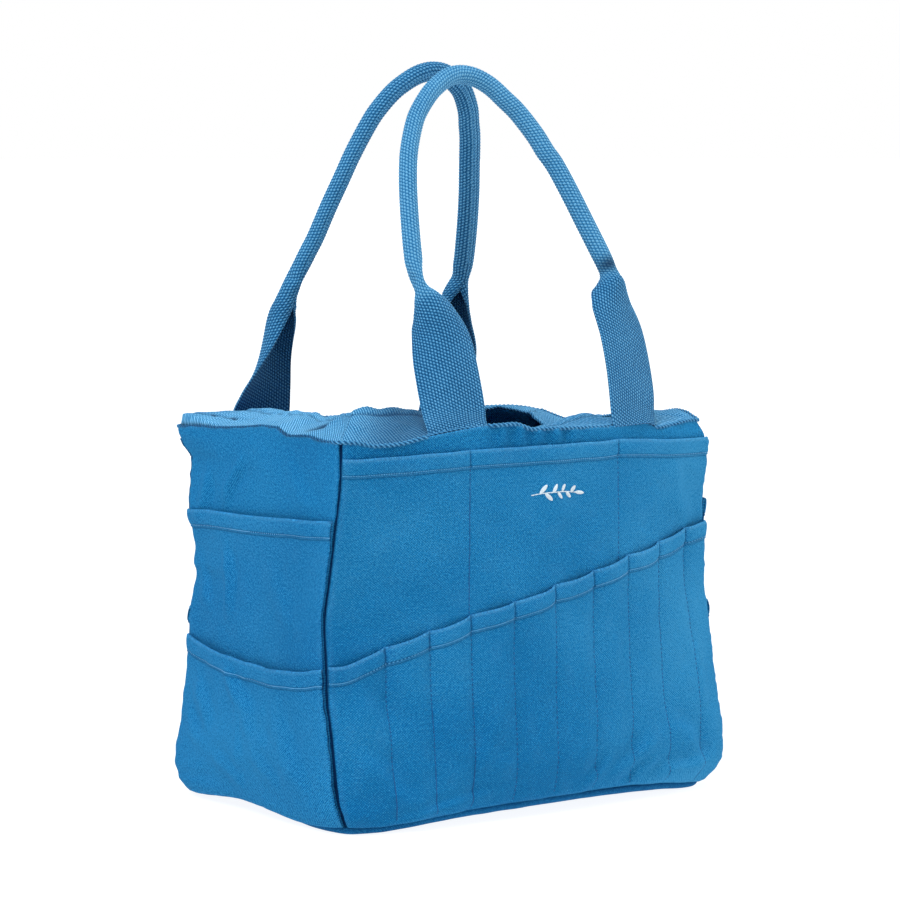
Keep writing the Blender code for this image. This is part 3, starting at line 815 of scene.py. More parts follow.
CORD = plain("core_cord", base=(0.62, 0.59, 0.52), other=(0.50, 0.47, 0.40), scale=300.0, rough=0.9)
BOARD = plain("base_board", base=(0.20, 0.185, 0.16), other=(0.15, 0.14, 0.12), scale=60.0,
              rough=0.8)
SPRIG_THREAD = plain("embroidery", base=(0.78, 0.83, 0.86), other=(0.62, 0.70, 0.76), scale=900.0,
                     rough=0.55, fibre_scale=1400.0, strength=0.35)


# ---------------------------------------------------------------- walls
def to_ends(side, frac):
    """Cloth distances to the corners at the start and end of a side."""
    run = frac * SIDE_LENGTH[side]
    return run, SIDE_LENGTH[side] - run


def edge_dive(side, frac, z):
    """Cloth turning in to the corner seam at both ends of a side, a little unevenly."""
    start, end = to_ends(side, frac)
    width = 1.7 * MM * (1 + 0.16 * np.sin(z * 210 + side) + 0.12 * np.sin(z * 470 + 2 * side))
    return -(bump(start, width) + bump(end, width)) * 3.4 * MM


def edge_wear(side, frac):
    start, end = to_ends(side, frac)
    return 0.10 * (bump(start - 3.9 * MM, 1.2 * MM) + bump(end - 3.6 * MM, 1.2 * MM))


# painted shade in the groove of the corner seam at both ends of a side
def edge_painted_shade(side, frac):
    start, end = to_ends(side, frac)
    return bump(start, 1.7 * MM) + bump(end, 1.7 * MM)


# (loop place, height in mm of the seam between walls and base)
WALL_FOOT = ((0, 5.6), (0.1, 5.2), (0.3, 5.2), (0.7, 6.2), (0.94, 4.8), (1, 3.2), (1.3, 3.4),
             (1.7, 3.4), (2, 2.4), (2.3, 4.6), (2.7, 4.6), (3, 1.6), (3.3, 1.8), (3.75, 2.4),
             (3.93, 4.6), (4, 5.6))
# (height above that seam, distance outward) in mm
ROLL_OUT = ((0, -4.6), (0.5, -3.2), (1.2, -2), (2.2, -1), (4, -0.1), (7, 0.5), (13, 0.9),
            (30, 0.3), (50, 0))


def wall_low(loop):
    return curve(np.asarray(loop, float) % 4.0, WALL_FOOT) * MM


def puff(loop, z):
    """The lowest centimetre of the walls rolls out over the seam with the base."""
    return curve_mm(z - wall_low(loop), ROLL_OUT)


def wall(side):
    length = SIDE_LENGTH[side]
    columns = column_places(1.6 * MM, length - 1.6 * MM, 2.4 * MM, ()) / length

    def off(frac, z, drop):
        return (edge_dive(side, frac, z) + puff(side + frac, z)
                + 0.25 * MM * bump(drop - 2.5 * MM, 2.5 * MM))

    def wear_and_crown_highlight(frac, z, drop):
        return 0.35 * bump(drop, 1.2 * MM) + edge_wear(side, frac)

    # painted shade along the seam with the base, under the wall's bulge, and in the corner seams
    def painted_shade(frac, z, drop):
        seam = 0.5 * bump(z - wall_low(side + frac), 1.5 * MM)
        return np.clip(edge_painted_shade(side, frac) + seam, 0, 1)

    obj = sheet(SIDE_NAMES[side] + "_wall_panel", side, columns, wall_low(side + columns),
                top_z(side + columns) - 0.2 * MM, off, lambda frac, z, drop: CLOTH + 0 * frac,
                CANVAS, wear_and_crown_highlight, painted_shade, layer=0.1 * side)
    settle(obj, "canvas", SIDE_NAMES[side] + "_wall")


for wall_side in range(4):
    wall(wall_side)


# ---------------------------------------------------------------- pockets
def hem_profile(drop):
    """A folded hem: twice the cloth, softly full, pressed down along its row of stitches."""
    body = 0.95 + 0.45 * np.sin(PI * np.clip(drop / (11.0 * MM), 0, 1))
    groove = -0.55 * bump(drop - HEM_SEAM, 0.55 * MM)
    return (body * smooth(12.6 * MM, 11.9 * MM, drop) + groove) * MM


class Pocket:
    """One pocket panel, divided by upright seams.

    lip_line is (distance along the side, lip height) in mm, seams are distances in metres,
    under(frac, z) is the outer face of what it is sewn on. lip_gap and body_gap (mm) say how far
    it stands off at the lip and lower down, steep how squarely the lip leaves the seams.
    """

    def __init__(self, stem, side, lip_line, seams, under, lip_gap, body_gap, seed, lip_sag=0.7,
                 steep=3.2):
        self.stem, self.side, self.lip_line, self.seams = stem, side, lip_line, seams
        self.under, self.lip_gap, self.body_gap, self.steep = under, lip_gap, body_gap, steep
        self.name = stem + "_pocket"
        self.length = SIDE_LENGTH[side]
        random = np.random.default_rng(seed)
        count = len(seams) + 1
        self.fullness = random.uniform(0.75, 1.25, count)
        self.skew = random.uniform(-0.12, 0.12, count)
        self.sag = random.uniform(0.4, 1.3, count) * lip_sag * MM
        self.wave = Waves(seed + 100, 0.016, 0.05, 8)
        self.pucker = Waves(seed + 200, 0.005, 0.010, 6)

    def segments(self, run):
        """Fraction across the pocket a place is in, distance to its nearest edge, its number."""
        edges = np.array([0.0, *self.seams, self.length])
        i = np.clip(np.searchsorted(edges, run, side="right") - 1, 0, len(edges) - 2)
        start, end = edges[i], edges[i + 1]
        return (run - start) / (end - start), np.minimum(run - start, end - run), i

    def seam_distance(self, run):
        near = np.full_like(run, 1.0)
        for seam in self.seams:
            near = np.minimum(near, np.abs(run - seam))
        return near

    def lip(self, frac):
        run = frac * self.length
        across, _, i = self.segments(run)
        return (curve_mm(run, self.lip_line) - self.sag[i] * np.sin(PI * across)
                + 0.25 * MM * self.wave(run, 3.0))

    def gap(self, frac, z, drop):
        """How far the pocket stands off what is under it."""
        run = frac * self.length
        across, edge, i = self.segments(run)
        across = np.clip(across - (0.10 + self.skew[i]) * np.sin(PI * across), 0, 1)
        lip_shape = 1 - np.abs(2 * across - 1) ** self.steep
        near_lip = np.exp(-((drop / (26 * MM)) ** 2))
        low = 0.35 + 0.65 * smooth(0.004, 0.045, z)
        body = self.body_gap * np.sin(PI * across) * (1 - near_lip) * low
        gap = (self.lip_gap * lip_shape * near_lip + body) * self.fullness[i]
        gap = gap + 0.18 * self.wave(run, z) * smooth(0, 6 * MM, edge)
        if self.seams:
            gap = gap + (0.22 * self.pucker(run * 0.4, z) * bump(edge - 2.0 * MM, 3.0 * MM)
                         * (drop > 0))
        return np.maximum(gap, 0.0) * MM + 0.12 * MM

    def off(self, frac, z, drop):
        near = self.seam_distance(frac * self.length)
        pull = (0.22 * bump(near, 1.0 * MM) + 0.32 * bump(near, 3.4 * MM)
                + 0.75 * bump(near, 0.8 * MM) * smooth(13.0 * MM, 11.0 * MM, drop))
        return (self.under(frac, z) + self.gap(frac, z, drop) + CLOTH + hem_profile(drop)
                - pull * MM + edge_dive(self.side, frac, z))

    def outer(self, frac, z):
        """Outer face as something to sew on: above the lip it is what lies under the pocket."""
        drop = self.lip(frac) - z
        share = smooth(-0.5 * MM, 0.5 * MM, drop)
        face = self.off(frac, z, np.maximum(drop, 0))
        return face * share + self.under(frac, z) * (1 - share)

    def wear_and_crown_highlight(self, frac, z, drop):
        return np.clip(0.35 * bump(drop - 0.3 * MM, 1.0 * MM)
                       + 0.30 * bump(drop - 11.9 * MM, 0.6 * MM) + 0.05 * (drop < 11 * MM)
                       + edge_wear(self.side, frac)
                       + 0.03 * self.wave(frac * self.length * 1.3, z), 0, 1)

    # painted shade in the divider seams across the hem, under the hem's folded edge, in the groove
    # of the hem stitches and in the corner seams
    def painted_shade(self, frac, z, drop):
        near = self.seam_distance(frac * self.length)
        return np.clip(bump(near, 0.55 * MM) * 0.5 * (drop < 11.5 * MM)
                       + 0.55 * bump(drop - 12.7 * MM, 0.5 * MM)
                       + 0.85 * bump(drop - HEM_SEAM, 0.60 * MM) + edge_painted_shade(self.side, frac), 0, 1)

    def build(self, material, layer):
        inset = 1.9 * MM
        columns = column_places(inset, self.length - inset, 2.5 * MM, self.seams) / self.length
        obj = sheet(self.name + "_panel", self.side, columns,
                    wall_low(self.side + columns) + 0.1 * MM, self.lip(columns), self.off,
                    lambda frac, z, drop: CLOTH + hem_profile(drop) * 0.92, material,
                    self.wear_and_crown_highlight, self.painted_shade, layer)
        settle(obj, "pocket_canvas", self.name)

    def surface(self, frac, z, lift):
        """Points lift above the outer face, and outward normals there."""
        points = place(self.side, frac, z, self.off(frac, z, self.lip(frac) - z) + lift)
        _, normals = plan(self.side + frac, z)
        return points, np.stack([normals[..., 0], normals[..., 1], 0 * normals[..., 0]], -1)

    def hem_stitches(self):
        frac = np.linspace(2.5 * MM, self.length - 2.5 * MM, 300) / self.length
        points, normals = self.surface(frac, self.lip(frac) - HEM_SEAM, 0.02 * MM)
        obj = stitches(self.name + "_hem_stitches", points, normals, HEM_THREAD, pitch=3.1,
                       length=1.75, radius=0.42)
        settle(obj, "thread", self.name + "_hem_thread")

    def divider_stitches(self, number):
        """The stitches of seam number 1, 2, ..."""
        at = self.seams[number - 1] / self.length
        top = float(self.lip(np.array([at]))[0])
        z = np.linspace(8.5 * MM, top - 1.0 * MM, 160)
        points, normals = self.surface(np.full_like(z, at), z, 0.10 * MM)
        obj = stitches(f"{self.stem}_divider_stitches_{number}", points, normals, DIVIDER_THREAD,
                       pitch=3.7, length=2.1, radius=0.40, sink=0.16)
        settle(obj, "thread", f"{self.stem}_divider_{number}")


def wall_face(side):
    return lambda frac, z: puff(side + frac, z)


# front: three large pockets, then ten channels whose lip climbs to the right
# (x of a channel seam, height of the lip there) in mm
CHANNELS = ((-129, 132.8), (-98.4, 143), (-68.7, 152.6), (-33.9, 160.3), (2.5, 169.5),
            (39.3, 177.6), (75.1, 185.9), (109.4, 193.2), (142.9, 201.1))
channel_seams = [front_run(x * MM) for x, _ in CHANNELS]
channel_lip = ((0, 120), *((seam / MM, z) for seam, (_, z) in zip(channel_seams, CHANNELS)),
               (345, 204.6))
front_upper = Pocket("front_upper", 0, ((0, 268.8), (100, 271.5), (240, 272.4), (345, 268.2)),
                     [front_run(x * MM) for x in (-69.3, 66.8)], wall_face(0),
                     lip_gap=2.2, body_gap=0.9, seed=3)
front_channel = Pocket("front_channel", 0, channel_lip, channel_seams, front_upper.outer,
                       lip_gap=2.7, body_gap=2.1, seed=5, lip_sag=1.0)
front_upper.build(POCKET_CANVAS, layer=0.5)
front_channel.build(POCKET_CANVAS, layer=0.6)
for pocket in (front_upper, front_channel):
    pocket.hem_stitches()
for pocket in (front_upper, front_channel):
    for divider in range(len(pocket.seams)):
        pocket.divider_stitches(divider + 1)

# back: large pockets, with a level row of three over them
back_seams = [front_run(x * MM) for x in (-66, 66)]
back_upper = Pocket("back_upper", 2,
                    ((0, 258), (8, 261), (20, 266.5), (40, 270), (120, 271.2), (240, 270.8),
                     (345, 269)),
                    back_seams, wall_face(2), lip_gap=2.4, body_gap=1.0, seed=13)
back_lower = Pocket("back_lower", 2, ((0, 142), (110, 143.2), (240, 142.5), (345, 142)),
                    back_seams, back_upper.outer, lip_gap=3.4, body_gap=2.0, seed=15, lip_sag=1.6)
back_upper.build(POCKET_CANVAS, layer=0.7)
back_lower.build(POCKET_CANVAS, layer=0.8)
for pocket in (back_upper, back_lower):
    pocket.hem_stitches()
for divider in range(len(back_seams)):
    for pocket in (back_upper, back_lower):
        pocket.divider_stitches(divider + 1)

# sides: two plain pockets each, the lower one slack on the left
left_upper = Pocket("left_upper", 3, ((0, 216.5), (30, 218.6), (120, 221.2), (212, 224.6)), (),
                    wall_face(3), lip_gap=3.6, body_gap=1.6, seed=23, lip_sag=0.5)
left_lower = Pocket("left_lower", 3,
                    ((0, 121.5), (20, 119.3), (65, 116.5), (100, 114.2), (150, 113.5), (190, 115),
                     (212, 118)),
                    (), left_upper.outer, lip_gap=4.6, body_gap=2.4, seed=25, lip_sag=0.5)
right_upper = Pocket("right_upper", 1, ((0, 220), (100, 218.5), (212, 221)), (), wall_face(1),
                     lip_gap=8.2, body_gap=1.2, seed=27, lip_sag=0.7, steep=16)
right_lower = Pocket("right_lower", 1, ((0, 143), (100, 139.5), (212, 142.5)), (),
                     right_upper.outer, lip_gap=6.4, body_gap=2.0, seed=29, lip_sag=0.9, steep=16)
for pocket, cloth_layer in ((left_upper, 0.9), (left_lower, 1.0), (right_upper, 1.1),
                            (right_lower, 1.2)):
    pocket.build(SIDE_CANVAS, cloth_layer)
    pocket.hem_stitches()

# ---------------------------------------------------------------- base
BASE_SHARES = (0.02, 0.30, 0.62, 0.88)      # rings of the flat parts, as shares of the outline
# (distance outward, height) of the rings round the base's edge, mm
BASE_EDGE = ((-6.5, 0), (-4, 0.1), (-2.4, 0.5), (-1.2, 1.3), (-0.5, 2.4), (-0.3, 3.6), (-0.5, 4.8),
             (-1.2, 5.8), (-2.4, 6.5), (-4, 6.6), (-5, 6.2), (-6.5, 5.6))
# (loop place, how far the edge is drawn in under the walls, mm)
BASE_TUCK = ((0, 3), (0.12, 2.4), (0.5, 1.9), (0.88, 2.2), (1, 3.6), (1.5, 4), (2, 4.4),
             (2.5, 2.6), (3, 5), (3.5, 4.2), (3.9, 3.4), (4, 3))
# (share of the outline, inset mm, height mm) of the board's rings, from below to above
BOARD_RINGS = ((0.05, 9, 1.6), (0.3, 9, 1.6), (0.62, 9, 1.6), (0.88, 9, 1.6), (1, 10.6, 1.6),
               (1, 9.8, 1.9), (1, 9.5, 2.6), (1, 9.8, 3.6), (1, 10.6, 4), (0.88, 9, 4),
               (0.62, 9, 4), (0.3, 9, 4), (0.05, 9, 4))


def outline(count, z):
    """Loop places all round, with the plan points and normals there at height z."""
    loop = (np.arange(count) + 0.5) / count * 4
    return loop, *plan(loop, np.full_like(loop, z))


def base_shell():
    loop, points, normals = outline(440, 6 * MM)
    lift, tuck = lift_of(loop), curve(loop, BASE_TUCK)
    core = points - normals * 8.0 * MM
    wave = Waves(77, 0.02, 0.07)
    # (ring points, share of the lift, height in mm)
    layout = [(core * share, share**3, 0.0) for share in BASE_SHARES]
    layout += [(points + normals * ((out - tuck) * MM)[:, None], 1.0, z) for out, z in BASE_EDGE]
    layout += [(core * share, share**3, 5.5) for share in BASE_SHARES[::-1]]
    rings = []
    for ring, share, height in layout:
        ripple = 0.25 * wave(ring[:, 0], ring[:, 1]) if height > 0.3 else 0.0
        z = np.maximum((height + ripple) * MM + lift * share, 0.0)
        rings.append(np.column_stack([ring, z]))
    verts, quads, tris = hubbed_rings(rings, 0.0, 5.7 * MM)
    cloth = verts.copy()
    cloth[:, 1] += cloth[:, 2]
    zeros = np.zeros(len(verts))
    obj = mesh_object("base_shell", verts, quads, SHADED_BASE_CANVAS, tris,
                      {"wv": cloth, "wear_and_crown_highlight": zeros, "painted_shade": zeros})
    settle(obj, "canvas", "base_panel")


def board():
    """The stiff board inside the base, its corners rounded to follow the cloth over it."""
    loop, points, normals = outline(240, 6 * MM)
    lift = lift_of(loop)
    rings = [np.column_stack([(points - normals * inset * MM) * share,
                              z * MM + lift * (share * 0.95) ** 3])
             for share, inset, z in BOARD_RINGS]
    verts, quads, tris = hubbed_rings(rings, 1.6 * MM, 4.0 * MM)
    obj = mesh_object("base_stiffener", verts, quads, BOARD, tris)
    settle(obj, "base_board", "base_board")


def seam_tape():
    """The flat tape inside, along the seam between walls and base."""
    loop, points, normals = outline(360, 12.5 * MM)
    z = 7.2 * MM + lift_of(loop) + 0.25 * MM * np.sin(loop * 31)
    obj = tube("base_seam_tape", np.column_stack([points - normals * 9.5 * MM, z]), BINDING,
               sides=10, radii=(0.9 * MM, 3.4 * MM), closed=True)
    places = np.zeros((len(obj.data.vertices), 3), np.float32)
    obj.data.vertices.foreach_get("co", places.ravel())
    add_attribute(obj.data, "wv", places)
    settle(obj, "seam_binding", "base_seam_binding")


base_shell()
board()
seam_tape()

# ---------------------------------------------------------------- corner seams
# (share of the way inward, half thickness in mm before the 1.1 scale) across a corner strip
CORNER_SECTION = np.array([(0, 0.6), (0.04, 2.5), (0.12, 3.0), (0.24, 1.9), (0.42, 1.1),
                           (0.7, 1.05), (0.9, 0.9), (1, 0.35)])


def corner_strip(corner, corner_name, top):
    """The bound seam allowance that stands inside a corner."""
    z = np.linspace(7.0 * MM, top, 126)
    seam, _ = plan(np.full_like(z, corner), z)
    diagonal = -np.sign(seam[0]) / math.sqrt(2)
    inward = unit(unit(-seam) * 0.3 + diagonal * 0.7)
    sideways = np.stack([-inward[:, 1], inward[:, 0]], -1)
    across, half_mm = CORNER_SECTION.T
    half = half_mm * 1.1 * MM
    bend = 0.9 * MM * np.sin(z * 55 + corner) + 0.6 * MM * np.sin(z * 140 + 2 * corner)
    columns = []
    for sign, order in ((1, range(8)), (-1, range(7, -1, -1))):
        for i in order:
            reach = (2.4 + 9.8 * across[i]) * MM
            off = sign * half[i] + bend * across[i]
            columns.append(np.column_stack([seam + inward * reach + sideways * off[:, None], z]))
    section = np.stack(columns, 1)
    rows, cols = section.shape[:2]
    quads, tris = strip_faces(rows, cols)
    both = np.r_[across, across[::-1]]
    cloth = np.stack([np.tile(both * 9 * MM, (rows, 1)), np.tile(z[:, None], (1, cols)),
                      np.full((rows, cols), corner)], -1).reshape(-1, 3)
    # painted shade over the outer part of the strip, deep in the corner groove
    obj = mesh_object(corner_name + "_corner_binding", section, quads, BINDING, tris,
                      {"wv": cloth, "painted_shade": np.tile(1.15 * smooth(0.34, 0.10, both), rows)})
    settle(obj, "seam_binding", corner_name + "_corner_seam")


corner_strip(0.0, "front_left", top=0.2808)
corner_strip(1.0, "front_right", top=0.2808)
corner_strip(2.0, "back_right", top=0.2752)
corner_strip(3.0, "back_left", top=0.2786)

# ---------------------------------------------------------------- rim
# Across the rim, 0 is its sewn outer edge and 1 its free inner edge.
# (loop place, slope of the rim upward from its sewn edge in degrees)
RIM_SLOPE = (
    (-0.06, 20.5), (0, 22.4), (0.045, 27.5), (0.09, 30.5), (0.12, 29.5), (0.165, 24), (0.205, 17),
    (0.27, 8.5), (0.33, 0), (0.38, -8), (0.44, -16), (0.5, -15), (0.55, -8), (0.6, -2.5),
    (0.68, 0.2), (0.74, 3.2), (0.86, 4.2), (0.91, 3.4), (0.945, 1.8), (0.97, 3), (1, 3), (1.04, 1),
    (1.1, -3), (1.15, -5), (1.25, -4), (1.33, -2), (1.5, -2), (1.65, -3), (1.85, -2), (1.95, 0),
    (2, 1.5), (2.05, 3), (2.1, 3.8), (2.2, 3), (2.35, -2), (2.5, -8), (2.62, -5), (2.74, -3),
    (2.86, 3), (2.96, 10), (3.03, 12), (3.18, 13), (3.3, 12), (3.4, 11), (3.5, 9.5), (3.58, 8.5),
    (3.66, 10), (3.76, 10.5), (3.86, 16), (3.94, 20.5), (4, 22.4), (4.045, 27.5))
RIM_BELLY = Waves(501, 0.5, 2.0, 4)
RIM_WAVE = Waves(502, 0.02, 0.10, 7)
RIM_FINE = Waves(503, 0.010, 0.022, 8)
RIM_PER_LOOP = 0.30     # metres of wave to one step of the loop place


def inner_plan(loop):
    """Plan of the rim's free edge."""
    side, frac = split_loop(loop)
    corners = np.array([(-INNER_X, -INNER_Y), (INNER_X, -INNER_Y), (INNER_X, INNER_Y),
                        (-INNER_X, INNER_Y)])
    start, chord = corners[side], corners[(side + 1) % 4] - corners[side]
    normals = unit(np.stack([chord[..., 1], -chord[..., 0]], -1))
    bow = np.where(side % 2 == 0, 15 * MM, 3 * MM) * (1 - (2 * frac - 1) ** 2)
    return start + chord * frac[..., None] + normals * bow[..., None]


def notches(loop, across):
    """Where the band tucks under itself beside the two left corners: front, back."""
    front = bump(loop_gap(loop, 3.830 + 0.20 * (across - 0.4)), 0.038) * bump(across - 0.39, 0.15)
    past = loop_gap(loop, 3.0)
    back = (bump(across - 0.11 - 0.96 * past, 0.040) * smooth(-0.03, 0.02, past)
            * smooth(0.36, 0.24, past))
    return front, back


def seamless(waves, loop, y):
    """Waves round the loop, blended so that they repeat where it closes."""
    run = loop * RIM_PER_LOOP
    blend = smooth(3.8, 4.0, loop % 4.0)
    return waves(run, y) * (1 - blend) + waves(run - 4 * RIM_PER_LOOP, y) * blend


def rim_point(loop, across):
    edge_z = top_z(loop)
    edge, normals = plan(loop, edge_z)
    outer = edge - normals * 2.6 * MM
    slope = np.radians(curve(loop % 4.0, RIM_SLOPE))
    belly = 1 + 0.35 * RIM_BELLY(loop, 0 * loop)
    shape = across + 0.22 * across * (1 - across) * belly
    fold = seamless(RIM_WAVE, loop, across * 0.04) * MM * across * smooth(0.0, 0.3, across)
    fine = seamless(RIM_FINE, loop, across * 0.044) * 0.45 * MM * smooth(0.0, 0.2, across)
    xy = outer + (inner_plan(loop) - outer) * (across * np.cos(slope))[..., None]
    z = edge_z + 0.4 * MM + np.sin(slope) * RIM_WIDTH * shape + fold + fine
    # the back left corner is pushed up and folded flat
    raised = bump(loop_gap(loop, 3.02), 0.17)
    flat = edge_z + (9.5 * smooth(0.0, 0.033, across) + 3.0 * across) * MM + 0.5 * fine
    z = z * (1 - raised) + raised * flat
    front, back = notches(loop, across)
    swell = bump(loop_gap(loop, 3.895 + 0.10 * (across - 0.4)), 0.035) * bump(across - 0.55, 0.26)
    z = z - (front * 3.4 - 4.6 * swell + back * 1.4) * MM
    # the free edge is turned over and sewn down, so it stands up as a soft roll behind a groove
    roll = smooth(RIM_FOLD - 0.01, RIM_FOLD + 0.07, across) * smooth(1.03, 0.93, across)
    z = z + (roll - 0.8 * bump(across - RIM_FOLD, 0.035)) * MM
    return np.concatenate([xy, z[..., None]], -1)


def rim_darkness(loop, across):
    """Shade at the mitres, the fold, the notches and the front left of the band."""
    mitre = np.abs(loop - np.round(loop)) * 0.28
    front, back = notches(loop, across)
    painted_shade = (0.8 * bump(mitre, 0.9 * MM) * smooth(0.03, 0.2, across) * (np.abs(loop - 2.0) < 1.5)
            + 0.6 * bump(across - RIM_FOLD, 0.022)
            + bump(mitre, 1.9 * MM) * smooth(0.03, 0.10, across) * (np.abs(loop - 3.0) < 0.5)
            + 2.0 * front + 1.2 * back
            + 0.74 * smooth(-0.02, 0.13, loop) * smooth(0.56, 0.40, loop))
    return np.clip(painted_shade, 0, 1)


def rim_band():
    loop = np.concatenate([side + np.arange(count) / count
                           for side, count in enumerate((310, 200, 310, 200))])
    last = 32
    loop_at, across = np.meshgrid(loop, np.linspace(0, 1, last + 1), indexing="ij")
    middle = rim_point(loop_at, across)
    round_it = np.roll(middle, -1, 0) - np.roll(middle, 1, 0)
    normals = unit(np.cross(round_it, np.gradient(middle, axis=1)))
    normals *= np.sign(normals[..., 2:3] + 1e-9)
    row = np.arange(len(loop))[:, None]
    col = np.arange(last + 1)[None]
    ribs = np.where(row % 2 == 0, 1.0, 0.0) * np.where((col + row // 2) % 2 == 0, 1.0, 0.6)
    relief, half = 0.16 * MM, 0.85 * MM
    top = middle + normals * (half + relief * ribs)[..., None]
    under = middle - normals * (half + relief * 0.6 * (1 - ribs))[..., None]
    section = np.concatenate([top, under[:, ::-1]], 1)
    # the rib crowns, stored as the mask for a painted highlight on them
    crown = 0.25 + 0.75 * ribs
    cloth = np.stack([across * RIM_WIDTH * 1.2, row * 1.1 * MM + 0.72 * across * RIM_WIDTH,
                      np.full(across.shape, 2.0)], -1)
    painted_shade = rim_darkness(loop_at, across)
    # painted highlight along the band's left stretch, which faces the light
    pale = 0.45 * smooth(3.05, 3.2, loop_at) * smooth(3.90, 3.75, loop_at)
    # painted shade of 0.6 over the band's underside
    attrs = {
        "wv": np.concatenate([cloth, cloth[:, ::-1]], 1).reshape(-1, 3),
        "wear_and_crown_highlight": np.concatenate([crown, 0.5 * crown[:, ::-1]], 1).ravel(),
        "painted_shade": np.concatenate([painted_shade, np.full(painted_shade.shape, 0.6)], 1).ravel(),
        "pale": np.concatenate([pale, 0 * pale], 1).ravel(),
    }
    obj = mesh_object("rim_webbing_band", section, ring_faces(*section.shape[:2], wrap=True),
                      RIM_WEB, attrs=attrs)
    settle(obj, "rim_webbing", "rim_webbing")


rim_band()

# ---------------------------------------------------------------- handles
# centre lines as (x, distance up the leaning plane from the hinge) in mm
FRONT_PATH = (
    (-75.6, -4), (-75.4, 5), (-74, 17), (-72.9, 33), (-72.3, 44), (-71.8, 55), (-71, 65),
    (-70.8, 76), (-71.9, 86), (-73, 94), (-75.2, 102), (-77.7, 108), (-79.9, 114), (-80.8, 120),
    (-80.5, 128), (-79, 140), (-77.4, 151), (-73.8, 172), (-69.2, 194), (-62.7, 216),
    (-52.6, 237.5), (-44.8, 248.6), (-33, 261), (-24.8, 267.5), (-14, 274), (-2, 277.3),
    (12, 275.5), (25.3, 268.4), (36.4, 257.3), (44.1, 249.3), (52, 238), (58.4, 227),
    (63.4, 215.7), (69.8, 204.4), (77.9, 182), (85.1, 159.4), (92.3, 137), (95.6, 125.6),
    (97.4, 114.4), (97.2, 103.3), (96.2, 92), (96.6, 81), (97, 70), (96.6, 59), (95.8, 48),
    (94.6, 37), (92.8, 26), (90.2, 15), (87.8, 3), (87.4, -4))
BACK_PATH = (
    (-93.6, -4), (-94, 6), (-94.6, 21), (-95, 33), (-95.2, 45), (-95, 56), (-94.6, 68), (-94, 80),
    (-93, 91), (-91.4, 102), (-88.6, 114), (-84.8, 125), (-80.9, 137), (-77.2, 148), (-71.7, 171),
    (-65.5, 193), (-59.3, 215.6), (-51.2, 238), (-45.7, 249.2), (-36.6, 262), (-28, 270),
    (-16, 277.5), (-3, 280.5), (10, 278), (22, 271), (30, 263.5), (38.3, 250), (42.2, 238.6),
    (46.2, 227.2), (51.8, 204.2), (57.5, 181), (62.2, 157.6), (66, 134), (67.4, 121), (67.6, 110),
    (66.2, 98.4), (67.4, 86.4), (70, 74.3), (74, 50), (77.2, 26), (78.5, 8), (78.5, -4))

# against mm up a leg from its root: curl (radians over the tape's width), turn (degrees),
# wide (how much the section is narrowed), tuck (how far the free edges are tucked in)
LEGS = {
    "front_left": dict(
        curl=((0, 0.1), (20, 0.45), (42, 1), (62, 1.4), (75, 2), (95, 3.5), (105, 4.9),
              (113, 6.28)),
        turn=((0, -7), (20, -17), (55, -27), (90, -30), (108, -24), (122, -6), (150, 0)),
        wide=((0, 1), (104, 1), (113, 0.58), (119, 0.32), (125, 0.55), (135, 0.93), (150, 0.95)),
        tuck=((0, 0), (85, 0), (112, 1))),
    "front_right": dict(
        curl=((0, 0.1), (40, 0.3), (75, 0.55), (92, 1.15), (104, 2.2), (111, 3.6), (117, 5.4),
              (123, 6.28)),
        turn=((0, 13), (15, 12), (30, 10), (65, 10), (95, 10), (108, 4), (124, -6), (136, 0)),
        wide=((0, 1), (90, 1), (99, 0.95), (106, 0.86), (113, 0.84), (124, 1), (140, 1.16)),
        tuck=((0, 0), (102, 0), (121, 1))),
    "back_left": dict(
        curl=((0, 0.1), (20, 0.6), (33, 1.1), (45, 1.7), (56, 2.4), (68, 3.2), (80, 4.4),
              (91, 5.4), (103, 6.1), (112, 6.28)),
        turn=((0, -6), (20, 6), (45, 22), (70, 30), (95, 26), (112, 10), (130, 0)),
        wide=((0, 1), (102, 1), (109, 0.8), (114, 0.52), (120, 0.75), (132, 0.9), (150, 0.9)),
        tuck=((0, 0), (80, 0), (104, 1))),
    "back_right": dict(
        curl=((0, 0.1), (25, 0.9), (50, 2.2), (75, 3.8), (92, 4.6), (104, 5.4), (114, 6.28)),
        turn=((0, 6), (30, -4), (70, -14), (100, -14), (118, -4), (134, 0)),
        wide=((0, 1), (104, 1), (112, 0.95), (124, 1.28), (150, 1.34)),
        tuck=((0, 0), (88, 0), (112, 1))),
}


def dense_path(path):
    """The path as a smoothed spline with a point per tape row, and their distances along it."""
    points = np.array(path, float) * MM
    ends = 2 * points[0] - points[1], 2 * points[-1] - points[-2]
    knots = np.concatenate([ends[:1], points, ends[1:]])
    line = []
    for i in range(1, len(knots) - 2):
        before, start, end, after = knots[i - 1:i + 3]
        for j in range(12):
            t = j / 12
            line.append(0.5 * (2 * start + (end - before) * t
                               + (2 * before - 5 * start + 4 * end - after) * t * t
                               + (3 * start - before - 3 * end + after) * t**3))
    line = np.array([*line, points[-1]])
    for _ in range(6):
        line[1:-1] = 0.25 * line[:-2] + 0.5 * line[1:-1] + 0.25 * line[2:]
    return resample(line, TAPE_ROW)


